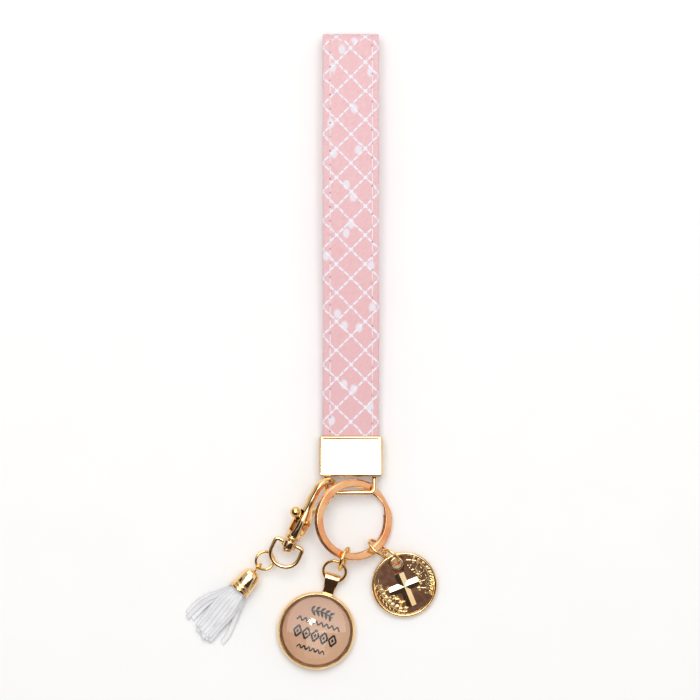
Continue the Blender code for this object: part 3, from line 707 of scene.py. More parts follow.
def make_clamp():
    """A folded box of sheet with a narrow raised border round its face."""
    half = CLAMP_WIDTH / 2
    h = CLAMP_HEIGHT
    rolled = [(0.75, 0.0), (0.4, 0.12), (0.15, 0.36), (0.0, 0.8)]
    rolled += [(inset, h - height) for inset, height in reversed(rolled)]
    shell = stacked(-half, half, 0.0, CLAMP_LENGTH, 1.2, rolled)
    clamp = build("clamp_shell", shell, GOLD)
    low, high = CLAMP_WALL, CLAMP_HEIGHT - CLAMP_WALL
    inside = box_outline(-half + CLAMP_WALL, half - CLAMP_WALL, CLAMP_WALL, CLAMP_LENGTH + 2.0)
    panel = (-half, half, 0.0, CLAMP_LENGTH, 1.6)
    top_panel = stacked(*panel, [(1.42, h - 0.22), (0.92, h), (0.86, h + 1.0)])
    bottom_panel = stacked(*panel, [(0.86, -1.0), (0.92, 0.0), (1.42, 0.22)])
    tools = [(prism(inside, low, high), HERE, "DIFFERENCE"),
             (top_panel, HERE, "DIFFERENCE"), (bottom_panel, HERE, "DIFFERENCE")]
    for x in (BAIL_LEFT, BAIL_RIGHT):
        tools.append((prism(box_outline(x - 1.7, x + 1.7, -1.0, 2.0), low, high), HERE, "DIFFERENCE"))
    cut_and_join(clamp, tools)
    flat_normals(clamp, 50.0)
    finish_piece(clamp, "strap", "polished_gold", "end_clamp")


def make_bail():
    down = Vector((0.0, -cos(BAIL_TILT), sin(BAIL_TILT)))
    place = frame_at(BAIL_PIVOT, (1, 0, 0), Vector((1, 0, 0)).cross(down))
    path = shaped(rounded_outline(BAIL_LEFT, BAIL_RIGHT, 0.0, BAIL_DROP, 1.8, 8))
    form = sweep(path, (0, 0, 1), disc_section(WIRE, 24), closed=True)
    finish_piece(build("bail_wire", form, GOLD, place, 60.0), "bail", "polished_gold", "strap_bail")


def key_ring_frame():
    tilt = KEY_RING_TILT
    return frame_at(KEY_RING_CENTRE, (cos(tilt), 0, -sin(tilt)),
                    (sin(tilt), 0, cos(tilt)))


def make_key_ring():
    """Two coils side by side, the front one stepping down to the back one along the joggle."""
    path, sizes, turn = [], [], COIL_START
    while turn <= COIL_END:
        taper = smooth(turn, 368.0, 384.0) * (1.0 - smooth(turn, 386.0, 412.0))
        sizes.append((1.0 - 0.34 * taper, 1.0))
        level = COIL_PITCH * (0.5 - smooth(turn, JOGGLE_START, JOGGLE_END))
        angle = radians(turn)
        path.append(Vector((KEY_RING_RADIUS * cos(angle), KEY_RING_RADIUS * sin(angle), level)))
        turn += 2.5
    half_out, half_over, cut = KEY_RING_BAND / 2, COIL_THICKNESS / 2, 0.4
    corners = [(half_out - cut, -half_over), (half_out, -half_over + cut), (half_out, half_over - cut),
               (half_out - cut, half_over), (-half_out + cut, half_over), (-half_out, half_over - cut),
               (-half_out, -half_over + cut), (-half_out + cut, -half_over)]
    section = soften(corners, 0.08, 2, closed=True)
    ring = build("key_ring_coils", sweep(path, (0, 0, 1), section, sizes=sizes), ROSE, key_ring_frame(), 40.0)
    finish_piece(ring, "key_ring", "rose_gold", "split_key_ring")


def make_jump_ring(name, node, body, spec, seam):
    """A cut ring of round wire with its seam towards the direction seam."""
    centre, normal, radius, wire = spec
    form = sweep(shaped(arc(0, 0, radius, 1.2, 358.8, 72)), UP, disc_section(wire, 20))
    ring = build(name, form, WARM_GOLD, frame_at(centre, seam, normal), 50.0)
    finish_piece(ring, body, "polished_gold", node)


MEDALLION_UPPER = (Vector((-2.64, -31.11, 7.14)), Vector((0.905, -0.39, 0.172)), 4.35, 0.7)
MEDALLION_LOWER = (Vector((-6.22, -35.97, 4.16)), Vector((-0.147, -0.396, 0.906)), 4.35, 0.6)
COIN_UPPER = (Vector((10.2, -27.11, 4.58)), Vector((0.611, 0.716, 0.338)), 4.2, 0.6)
COIN_LOWER = (Vector((15.1, -30.6, 3.93)), Vector((-0.515, -0.702, 0.492)), 3.65, 0.6)
TASSEL_LINK = (Vector((-32.72, -31.91, 4.4)), Vector((0.235, -0.191, 0.953)), 3.5, 0.55)


def make_rings():
    make_jump_ring("medallion_ring_high", "medallion_upper_ring", "medallion_upper", MEDALLION_UPPER,
                   (0.39, 0.92, 0.5))
    make_jump_ring("medallion_ring_low", "medallion_lower_ring", "medallion_lower", MEDALLION_LOWER,
                   (-1, 0.1, 0))
    make_jump_ring("coin_ring_high", "coin_upper_ring", "coin_upper", COIN_UPPER, (-0.5, 0.6, 0.6))
    make_jump_ring("coin_ring_low", "coin_lower_ring", "coin_lower", COIN_LOWER, (0.3, 0.4, 0.8))
    make_jump_ring("tassel_ring", "tassel_link_ring", "tassel_link", TASSEL_LINK, (-0.7, 0.7, 0))


# ---- medallion

MEDALLION_CENTRE = Vector((-13.2, -58.7, 0.0))
MEDALLION_LEAN = radians(17.0)
TRAY_RADIUS, TRAY_INNER, TRAY_HEIGHT, TRAY_FLOOR = 14.95, 13.85, 4.2, 1.2
PRINT_LOW, PRINT_THICKNESS = 1.5, 0.25
PRINT_RADIUS = 12.5
GLASS_RADIUS, GLASS_TOP = 13.5, 5.3


def medallion_frame():
    up = Vector((sin(MEDALLION_LEAN), cos(MEDALLION_LEAN), 0))
    return frame_at(MEDALLION_CENTRE, (up.y, -up.x, 0))


def make_tray():
    r, h = TRAY_RADIUS, TRAY_HEIGHT
    outer = soften([(0, 0), (r - 1.0, 0), (r - 0.05, 0.7), (r, 2.2), (r - 0.3, h - 0.75), (r - 0.72, h - 0.1),
                    (r - 0.98, h), (TRAY_INNER, h - 0.3), (TRAY_INNER, TRAY_FLOOR), (0, TRAY_FLOOR)], 0.2, 4)
    tray = build("medallion_case", lathe(outer, 128), GOLD, medallion_frame())
    foot = sweep([Vector((0, 14.35, 1.75)), Vector((0, 16.2, 2.02)), Vector((0, 18.1, 2.28))], UP,
                 soften(box_outline(-2.1, 2.1, -1, 1), 0.25, 3, closed=True),
                 sizes=[(1.0, 0.85), (1.0, 1.12), (1.0, 1.38)])
    outline = rounded_outline(16.9, 22.5, 0.875, 4.325, 1.6, 10)
    path = []
    for a, b in zip(outline, outline[1:] + outline[:1]):
        steps = max(1, int((Vector(b) - Vector(a)).length / 0.5))
        path += [Vector((0, mix(a[0], b[0], k / steps), mix(a[1], b[1], k / steps))) for k in range(steps)]
    for point in path:
        point.z = 0.875 + (point.z - 0.875) * mix(0.66, 1.0, smooth(point.y, 17.3, 20.3))
    flare = [(1.0, 2.3 + 0.65 * smooth(point.y, 17.0, 22.5)) for point in path]
    section = soften(box_outline(-0.32, 0.32, -1, 1), 0.12, 3, closed=True)
    loop = sweep(path, (1, 0, 0), section, closed=True, sizes=flare)
    cut_and_join(tray, [(foot, medallion_frame(), "UNION"), (loop, medallion_frame(), "UNION")])
    shade(tray.data, 35.0)
    finish_piece(tray, "medallion", "polished_gold", "medallion_tray")


def make_seat():
    """The flat brown ledge under the edge of the glass; its brown is painted shade for the dark ring under
    the glass edge.
    """
    high = PRINT_LOW + PRINT_THICKNESS
    wall = [(PRINT_RADIUS, high + 0.01), (TRAY_INNER - 0.1, high + 0.01), (TRAY_INNER - 0.1, high + 0.26),
            (TRAY_INNER - 0.35, high + 0.24)]
    seat = build("medallion_seat", lathe(wall, 128), SHADE_RING_PAINT, medallion_frame(), 50.0)
    finish_piece(seat, "medallion", "polished_gold")


def leaf(base, angle, length, width, thickness, height):
    """A pointed leaf lying flat: an almond outline with a raised midrib, closed underneath."""
    count = 9
    rows = []
    for i in range(count):
        t = i / (count - 1)
        half = width / 2 * sin(pi * min(max(t, 0.02), 0.98)) ** 0.8
        bend = 0.12 * length * sin(pi * t)
        for side, rise in ((-1, 0.0), (-0.5, 0.65), (0, 1.0), (0.5, 0.65), (1, 0.0)):
            rows.append((t * length, bend + side * half, height + thickness * rise))
        rows += [(t * length, bend + half * side, height - 0.15) for side in (0.7, -0.7)]
    turn = Matrix.Translation(Vector((*base, 0))) @ Matrix.Rotation(angle, 4, "Z")
    return moved((rows, grid_faces(count, 7, False, True)), turn)


def stem(points, radius, height, sides=8):
    path = spaced(shaped(points, height), max(6, len(points) * 5))
    return sweep(path, UP, disc_section(radius, sides))


def flat_line(points, width, low, high, taper=0.0):
    """An inked line of even thickness, its ends narrowed by taper."""
    path = spaced(shaped(points, (low + high) / 2), max(8, len(points) * 7))
    half = (high - low) / 2
    section = box_outline(-1, 1, -half, half)
    sizes = []
    for i in range(len(path)):
        t = i / (len(path) - 1)
        sizes.append((width / 2 * (1 - taper * abs(2 * t - 1) ** 2), 1.0))
    return sweep(path, UP, section, sizes=sizes)


def flat_leaf(base, angle, length, width, low, high):
    """An inked leaf shape."""
    outline = []
    for side in (1, -1):
        for i in range(9):
            t = i / 9 if side > 0 else 1 - i / 9
            outline.append((t * length, side * width / 2 * sin(pi * t) ** 0.9 + 0.1 * length
                            * sin(pi * t)))
    turn = Matrix.Translation(Vector((*base, 0))) @ Matrix.Rotation(angle, 4, "Z")
    return moved(prism(outline, low, high), turn)


def make_print():
    low, high = PRINT_LOW, PRINT_LOW + PRINT_THICKNESS
    r = TRAY_INNER - 0.3
    disc = lathe(soften([(0, low), (r, low), (r, high), (0, high)], 0.05, 2), 96)
    paper = build("medallion_paper", disc, printed_disc("peach_paper"), medallion_frame())
    finish_piece(paper, "medallion", "printed_paper", "medallion_print")
    ink_low, ink_high = high - 0.02, high + 0.04
    forms = []
    sprig = [(-3.9, 6.7), (-1.2, 7.3), (1.6, 7.1), (4.6, 6.3)]
    forms.append(flat_line(sprig, 0.62, ink_low, ink_high, 0.5))
    route = spaced(shaped(sprig), 6)
    for here, after in zip(route, route[1:]):
        along = atan2(after.y - here.y, after.x - here.x)
        for lean in (-0.9, 0.9):
            forms.append(flat_leaf((here.x, here.y), along + lean, 2.4, 1.0, ink_low, ink_high))
    zigzag = [(-8.3 + 1.04 * i, 2.9 + (0.8 if i % 2 else -0.8)) for i in range(17)]
    for start, end in zip(zigzag, zigzag[1:]):
        forms.append(flat_line([start, end], 0.56, ink_low, ink_high, 0.0))
    for i in range(5):
        x, reach = -6.7 + 3.4 * i, 2.25
        tips = [(x - 1.45, -1.9), (x, -1.9 + reach), (x + 1.45, -1.9), (x, -1.9 - reach)]
        for start, end in zip(tips, tips[1:] + tips[:1]):
            forms.append(flat_line([start, end], 0.72, ink_low, ink_high, 0.0))
        kernel = [(x, -2.75), (x + 0.55, -1.9), (x, -1.05), (x - 0.55, -1.9)]
        forms.append(prism(kernel, ink_low, ink_high))
    wave = [(-5.4 + 0.9 * i, -7.2 + (0.6 if i % 2 else -0.6)) for i in range(13)]
    forms.append(flat_line(wave, 0.6, ink_low, ink_high, 0.3))
    motif = build("medallion_motif", join_forms(forms), INK, medallion_frame())
    finish_piece(motif, "medallion", "printed_paper")


def make_glass():
    low = PRINT_LOW + PRINT_THICKNESS + 0.3
    dome = [(0, low), (GLASS_RADIUS - 0.15, low), (GLASS_RADIUS, low + 0.15), (GLASS_RADIUS, 3.7)]
    for x, y in arc(0, 0, 1.0, 0, 90, 20)[1:-1]:
        dome.append((GLASS_RADIUS * x, 3.7 + (GLASS_TOP - 3.7) * y))
    dome.append((0, GLASS_TOP))
    glass = build("medallion_dome", lathe(dome, 96), GLASS, medallion_frame(), 50.0)
    finish_piece(glass, "medallion", "domed_glass", "medallion_glass")


# ---- coin charm

COIN_CENTRE = Vector((20.3, -41.0, 0.0))
COIN_LEAN, COIN_TILT = radians(22.0), radians(6.0)
COIN_RADIUS, COIN_HEIGHT, COIN_GROUND = 12.6, 2.1, 1.35
COIN_HOLE = Vector((0.3, 8.7, 0.0))
COIN_HOLE_RADIUS = 1.95
RING_CLEARANCE = 0.06
CROSS_AT = (-0.3, -0.6)


def coin_frame():
    up = Vector((-sin(COIN_LEAN) * cos(COIN_TILT),
                 cos(COIN_LEAN) * cos(COIN_TILT), sin(COIN_TILT)))
    right = Vector((cos(COIN_LEAN), sin(COIN_LEAN), 0))
    centre = COIN_CENTRE + Vector((0, 0, COIN_RADIUS * sin(COIN_TILT)))
    return frame_at(centre, right, right.cross(up))


def gabled_beam(start, end, half_width, eave, ridge):
    section = [(-half_width, COIN_GROUND - 0.3), (half_width, COIN_GROUND - 0.3), (half_width, eave),
               (0, ridge), (-half_width, eave)]
    return sweep([Vector((*start, 0)), Vector((*end, 0))], UP, section)


def make_coin():
    place = coin_frame()
    r, h, ground = COIN_RADIUS - RING_CLEARANCE, COIN_HEIGHT, COIN_GROUND
    profile = soften([(0, 0), (r - 0.4, 0), (r, 0.4), (r, h - 0.42), (r - 0.42, h), (r - 0.85, h),
                      (r - 1.2, h - 0.3), (r - 1.3, ground), (0, ground)], 0.14, 3)
    coin = build("coin_blank", lathe(profile, 128), GOLD, place)
    hole_place = place @ Matrix.Translation(COIN_HOLE)
    lip = lathe(soften([(0, 0.8), (2.7, 0.8), (2.7, 1.55), (2.35, 1.98), (0, 1.98)], 0.2, 3), 48)
    hole = cylinder(COIN_HOLE_RADIUS, -1, 4, 48)
    cut_and_join(coin, [(lip, hole_place, "UNION"), (hole, hole_place, "DIFFERENCE")])
    shade(coin.data, 40.0)
    finish_piece(coin, "coin", "polished_gold", "coin_charm")

    field = cylinder(r - 1.4, ground - 0.1, ground + 0.03, 96)
    inlay = build("coin_field", field, DARK_GROUND_PAINT, place)
    bore = cylinder(2.55, -1, 4, 48)
    cut_and_join(inlay, [(bore, hole_place, "DIFFERENCE")])
    finish_piece(inlay, "coin", "polished_gold")

    x, y = CROSS_AT
    cross = build("coin_cross", gabled_beam((x, y - 8.0), (x, y + 5.4), 1.85, 1.8, 2.55), LIT_RELIEF_GOLD, place)
    arms = gabled_beam((x - 5.9, y), (x + 5.9, y), 1.8, 1.78, 2.5)
    cut_and_join(cross, [(arms, place, "UNION")])
    round_edges(cross, 0.1, 2, 25.0)
    finish_piece(cross, "coin", "polished_gold")
    make_wreath(place)


def make_wreath(place):
    """Two leafy sprays inside the rim, on a main stem each, with leaf pairs, side shoots and berries."""
    rng = random.Random(7)
    forms = []
    ground = COIN_GROUND
    for start, end in ((146.0, 254.0), (64.0, -44.0)):
        route, steps = [], 10
        for i in range(steps + 1):
            angle = radians(mix(start, end, i / steps))
            reach = 9.75 + 0.5 * sin(3.2 * angle)
            route.append(Vector((reach * cos(angle), reach * sin(angle))))
        forms.append(stem(route, 0.3, ground + 0.2))
        for i in range(1, steps):
            here, along = route[i], route[i + 1] - route[i - 1]
            heading = atan2(along.y, along.x)
            outward = rng.uniform(0.55, 0.8)
            forms.append(leaf(here, heading - outward, 2.3, 1.25, 0.5, ground + 0.22))
            forms.append(leaf(here, heading + outward, rng.uniform(2.5, 3.2), 1.35, 0.5, ground + 0.24))
            if i % 2 == 0:
                shoot = here + (here * -1).normalized() * 2.9 + along.normalized() * 1.0
                middle = (here + shoot) / 2 + along.normalized() * 0.6
                forms.append(stem([here, middle, shoot], 0.22, ground + 0.16))
                turn = atan2(shoot.y - middle.y, shoot.x - middle.x)
                for lean in (-0.8, 0.0, 0.8):
                    forms.append(leaf(shoot, turn + lean, 1.9, 1.0, 0.45, ground + 0.2))
    berry = [(0, -0.1)] + arc(0, 0, 0.42, 0, 75, 5) + [(0, 0.42)]
    for cluster_x, cluster_y in ((-6.6, -3.3), (-4.0, -6.2), (6.6, 2.3), (4.4, 5.9)):
        for k in range(3):
            angle = tau * k / 3 + cluster_x
            spot = Vector((cluster_x + 0.62 * cos(angle), cluster_y + 0.62 * sin(angle), ground))
            forms.append(moved(lathe(berry, 14), Matrix.Translation(spot)))
    wreath = build("coin_wreath", join_forms(forms), LIT_RELIEF_GOLD, place, 45.0)
    finish_piece(wreath, "coin", "polished_gold")


# ---- snap hook

CLASP_ORIGIN = Vector((-23.04, -23.89, 7.78))
CLASP_AZIMUTH = radians(25.5)
CLASP_RISE = 0.14
CLASP_ROLL = radians(45.2)
ARCH_CENTRE = (6.15, 21.5)
ARCH_BACK, ARCH_TIP, ARCH_HIGH, TIP_END_U = 4.75, 4.0, 4.75, 19.7
PIVOT, PIVOT_RADIUS = (1.5, 8.5), 0.75
SLOT_HALF, LEVER_HALF = 1.15, 0.85
GATE_REACH, GATE_ANGLE = 12.6, radians(38.5)
KNOB, KNOB_RADIUS = (-3.9, 11.0), 2.1
LOOP_WIRE, LOOP_HALF_WIDTH, LOOP_BAR, LOOP_DEPTH, LOOP_CORNER = 0.82, 5.6, -1.5, 9.4, 1.2


def clasp_axes():
    """Along is the hook's length, aside points from its back to its opening, both in its plane."""
    along = Vector((sin(CLASP_AZIMUTH), cos(CLASP_AZIMUTH), CLASP_RISE)).normalized()
    level = Vector((cos(CLASP_AZIMUTH), -sin(CLASP_AZIMUTH), 0))
    above = level.cross(along)
    aside = level * cos(CLASP_ROLL) - above * sin(CLASP_ROLL)
    return along, aside


def clasp_frame(w=0.0, u=0.0):
    along, aside = clasp_axes()
    return frame_at(CLASP_ORIGIN + aside * w + along * u, aside, aside.cross(along))


def swivel_frame():
    along, aside = clasp_axes()
    level = Vector((cos(CLASP_AZIMUTH), -sin(CLASP_AZIMUTH), 0))
    return frame_at(CLASP_ORIGIN + aside * 0.6, level, along)


def make_hook():
    """The casting: a squared barrel with a slot for the lever, then the round arch with its tip."""
    shank = [(0.6, 1.0, 2.35, 2.45, 2.3), (0.7, 2.2, 2.65, 2.75, 3.0), (1.0, 4.0, 2.85, 2.95, 4.2),
             (1.3, 7.6, 2.98, 3.0, 4.5), (1.4, 10.6, 2.5, 2.5, 4.2), (1.1, 13.7, 1.62, 1.85, 4.2),
             (1.02, 17.0, 1.45, 1.72, 4.0), (1.2, 19.5, 1.38, 1.6, 3.6)]
    smooth_shank = spaced([Vector((u, w, a)) for w, u, a, _, _ in shank], 44)
    other = spaced([Vector((u, b, power)) for _, u, _, b, power in shank], 44)
    path, sizes, powers = [], [], []
    for first, second in zip(smooth_shank, other):
        path.append(Vector((first.y, first.x, 0)))
        sizes.append((first.z, second.y))
        powers.append(second.z)
    centre_w, centre_u = ARCH_CENTRE
    for i in range(46):
        angle = radians(4.0 * i)
        reach = ARCH_BACK if angle < pi / 2 else ARCH_TIP
        fat = 1.0 - smooth(i, 2, 12)
        out = 0.06 * fat
        path.append(Vector((centre_w - (reach + out) * cos(angle),
                            centre_u + (ARCH_HIGH + out) * sin(angle), 0)))
        thin = 1.0 - 0.15 * smooth(i, 22, 45)
        sizes.append(((1.3 + 0.07 * fat) * thin, (1.45 + 0.12 * fat) * thin))
        powers.append(mix(3.6, 2.0, smooth(i, 2, 14)))
    for drop, size in ((0.35, 1.08), (0.8, 1.0), (1.2, 0.86), (1.55, 0.62), (1.75, 0.3)):
        path.append(Vector((centre_w + ARCH_TIP - 0.1, centre_u - drop, 0)))
        sizes.append((size, size * 1.05))
        powers.append(2.0)
    form = sweep(path, UP, lambda i: squared_section(powers[i]), sizes=sizes)
    hook = build("snap_hook_casting", form, GOLD, clasp_frame())
    slot = prism(rounded_outline(-6.0, 8.0, 3.6, 12.6, 0.6), -SLOT_HALF, SLOT_HALF)
    groove = prism(box_outline(0.9, 8.0, 12.0, 17.5), -SLOT_HALF, SLOT_HALF)
    hole = cylinder(PIVOT_RADIUS + 0.1, -5, 5, 32)
    stud = lathe(soften([(0, 2.2), (2.0, 2.2), (2.0, 0.4), (1.1, 0.1), (1.1, -3.6), (1.9, -3.6),
                         (1.9, -4.2), (1.3, -5.0), (0, -5.2)], 0.25, 3), 40)
    collar = lathe(soften([(0, 1.9), (2.75, 1.9), (2.75, 1.55), (2.55, 1.5), (2.55, 1.3), (3.05, 1.25),
                           (3.05, 0.85), (2.75, 0.55), (0, 0.55)], 0.1, 2), 56)
    cut_and_join(hook, [(slot, clasp_frame(), "DIFFERENCE"), (groove, clasp_frame(), "DIFFERENCE"),
                        (hole, clasp_frame(*PIVOT), "DIFFERENCE"), (collar, swivel_frame(), "UNION"),
                        (stud, swivel_frame(), "UNION")])
    round_edges(hook, 0.1, 2, 42.0)
    finish_piece(hook, "clasp", "polished_gold", "clasp_hook")


def make_lever():
    """The gate arm, the pivot eye and the thumb knob."""
    place = clasp_frame(*PIVOT)
    end = Vector((GATE_REACH * sin(GATE_ANGLE), GATE_REACH * cos(GATE_ANGLE), 0))
    knob = Vector((KNOB[0] - PIVOT[0], KNOB[1] - PIVOT[1], 0))
    section = squared_section(4.5, 28)
    path = [end * mix(0.1, 1.0, i / 16) for i in range(17)]
    sizes = [(mix(1.2, 0.9, i / 16), LEVER_HALF) for i in range(17)]
    lever = build("lever_gate", sweep(path, UP, section, sizes=sizes), WARM_GOLD, place)
    boss = lathe(soften([(0, -LEVER_HALF), (1.9, -LEVER_HALF), (1.9, LEVER_HALF), (0, LEVER_HALF)], 0.12), 48)
    thin = LEVER_HALF - 0.05
    arm = sweep([knob * 0.1, knob * 0.9], UP, section, sizes=[(1.0, thin), (0.85, thin)])
    hole = cylinder(PIVOT_RADIUS + 0.15, -3, 3, 32)
    ball = [(0, -KNOB_RADIUS)] + arc(0, 0, KNOB_RADIUS, -81, 81, 18) + [(0, KNOB_RADIUS)]
    cut_and_join(lever, [(boss, place, "UNION"), (arm, place, "UNION"),
                         (lathe(ball, 40), clasp_frame(*KNOB), "UNION"), (hole, place, "DIFFERENCE")])
    shade(lever.data, 35.0)
    finish_piece(lever, "trigger", "polished_gold", "clasp_lever")


def make_pin_and_spring():
    r = PIVOT_RADIUS - 0.02
    profile = soften([(0, -3.72), (1.2, -3.72), (1.34, -3.3), (1.2, -3.12), (r, -3.1), (r, 3.1), (1.2, 3.12),
                      (1.34, 3.3), (1.2, 3.72), (0, 3.72)], 0.12, 3)
    pin = build("lever_rivet", lathe(profile, 40), WARM_GOLD, clasp_frame(*PIVOT))
    finish_piece(pin, "clasp", "polished_gold", "clasp_pin")
    turns, radius, wire, low, high = 3.5, 0.62, 0.13, 4.05, 6.2
    points, count, sides = [], int(turns * 24) + 1, 10
    for i in range(count):
        angle = tau * i / 24
        out = Vector((cos(angle), 0, sin(angle)))
        here = Vector((2.4, mix(low, high, i / (count - 1)), 0)) + out * radius
        for k in range(sides):
            turn = tau * k / sides
            points.append(here + out * (wire * cos(turn)) + Vector((0, wire * sin(turn), 0)))
    form = (points, grid_faces(count, sides, False, True))
    spring = build("lever_spring", form, STEEL, clasp_frame(), 60.0)
    finish_piece(spring, "clasp", "spring_steel", "clasp_spring")


def make_swivel_loop():
    """A D of nearly round wire whose bar carries a turned eye for the hook's stud."""
    place = swivel_frame()
    bar, half = LOOP_BAR, LOOP_HALF_WIDTH
    bottom = bar - LOOP_DEPTH
    corner = LOOP_CORNER
    outline = [(x, bar) for x in (-half + corner, -half / 2, 0, half / 2, half - corner)]
    outline += arc(half - corner, bar - corner, corner, 90, 0, 5)[1:]
    for x, y in arc(0, 0, 1.0, 0, 180, 48):
        outline.append((half * x, bottom + 5.2 - 5.2 * y))
    outline += arc(-half + corner, bar - corner, corner, 180, 90, 5)[:-1]
    path = [Vector((x, 0, z)) for x, z in outline]
    section = [(a * LOOP_WIRE, b * LOOP_WIRE) for a, b in squared_section(2.2, 32)]
    form = sweep(path, (0, 1, 0), section, closed=True)
    loop = build("swivel_d_loop", form, GOLD, place, 50.0)
    eye = lathe(soften([(0, bar - 1.7), (2.9, bar - 1.7), (2.9, bar + 1.2), (0, bar + 1.2)], 0.35, 4), 56)
    bore = cylinder(1.35, bar - 3, bar + 3, 40)
    cut_and_join(loop, [(eye, place, "UNION"), (bore, place, "DIFFERENCE")])
    shade(loop.data, 42.0)
    finish_piece(loop, "swivel", "polished_gold", "swivel_loop")


# ---- tassel

CAP_TOP = Vector((-36.5, -36.0, 4.5))
CAP_DIRECTION = Vector((-0.65, -0.76, 0.0)).normalized()
CAP_LENGTH, CAP_RADIUS = 9.7, 4.3
EYE_RADIUS, EYE_WIRE = 1.55, 0.42
STRIP_WIDTH, STRIP_THICK, STRIP_START = 1.9, 0.42, 3.2
STRIP_SECTION = ((-1, -0.55), (-0.6, -1), (0, -1), (0.6, -1), (1, -0.55), (1, 0.55), (0.6, 1), (0, 1),
                 (-0.6, 1), (-1, 0.55))


def tassel_frame():
    """Z along the tassel from the cap's top, X to the right of the photo's view, Y up."""
    return frame_at(CAP_TOP, UP.cross(CAP_DIRECTION), CAP_DIRECTION)


def make_cap():
    length, r = CAP_LENGTH, CAP_RADIUS
    outer = [(1.6, 0.0), (2.5, 0.28), (3.2, 1.0), (3.65, 2.3), (3.85, 4.2), (4.0, length - 3.1),
             (3.72, length - 2.9), (3.72, length - 2.7), (4.05, length - 2.5), (4.12, length - 1.65),
             (3.82, length - 1.45), (3.82, length - 1.25), (r, length - 1.0), (r, length - 0.2),
             (r - 0.25, length)]
    inner = [(3.6, length), (3.35, length - 1.5), (3.3, 3.0), (2.7, 1.6), (1.6, 0.9), (0.62, 0.8),
             (0.62, 0.0)]
    form = lathe(soften(outer + inner, 0.14, 3, closed=True), 96)
    cap = build("tassel_dome", form, GOLD, tassel_frame(), 50.0)
    finish_piece(cap, "tassel", "polished_gold", "tassel_cap")
    turn = Vector((0.707, -0.61, -0.35)).normalized()
    normal = (turn + UP * 0.6).normalized()
    normal = (normal - CAP_DIRECTION * normal.dot(CAP_DIRECTION)).normalized()
    place = frame_at(CAP_TOP - CAP_DIRECTION * (EYE_RADIUS + 0.55), -CAP_DIRECTION, normal)
    path = shaped(arc(0, 0, EYE_RADIUS, -172, 172, 48))
    eye = build("tassel_eye", sweep(path, UP, disc_section(EYE_WIRE, 16)), WARM_GOLD, place, 50.0)
    shank = lathe([(0, -0.9), (0.35, -0.9), (0.35, 1.15), (1.3, 1.2), (1.3, 1.7), (0, 1.75)], 24)
    cut_and_join(eye, [(shank, tassel_frame(), "UNION")])
    finish_piece(eye, "tassel", "polished_gold", "tassel_eye_pin")


def strip_form(start, end, bulge, lift, twist, width, cut, wander):
    """One suede strip from inside the cap, start (x, y), to its end (x, y, along)."""
    (x0, y0), (x1, y1, z1) = start, end
    count = 24
    points, rows = [], []
    for i in range(count):
        z = mix(STRIP_START, z1, i / (count - 1))
        open_out = smooth(z, 6.5, z1 - 2.0)
        free = smooth(z, 8.0, z1)
        x = mix(x0, x1, open_out) + bulge * sin(pi * min(free * 1.15, 1.0))
        x += wander * sin(tau * free) * 0.5
        y = mix(y0, y1, smooth(z, 8.5, z1 - 3.0)) + lift * sin(pi * free)
        points.append(Vector((x, y, z)))
    for i, here in enumerate(points):
        before, after = points[max(i - 1, 0)], points[min(i + 1, count - 1)]
        along = (after - before).normalized()
        turn = twist * smooth(here.z, 8.0, z1)
        side = Vector((cos(turn), sin(turn), 0))
        side = (side - along * side.dot(along)).normalized()
        over = along.cross(side)
        edge = width / 2 * mix(0.62, 1.0, smooth(here.z, 7.0, 13.0))
        edge *= 1 + 0.05 * sin(here.z * 1.7 + wander * 9)
        thick = STRIP_THICK / 2
        cup = 0.14 + 0.10 * sin(here.z * 0.8 + wander * 5)
        for a, b in STRIP_SECTION:
            slant = along * (cut * a * smooth(i, count - 4, count - 1))
            rows.append(here + side * (a * edge) - over * (b * thick + cup * (1 - a * a)) + slant)
    return rows, grid_faces(count, len(STRIP_SECTION), False, True)


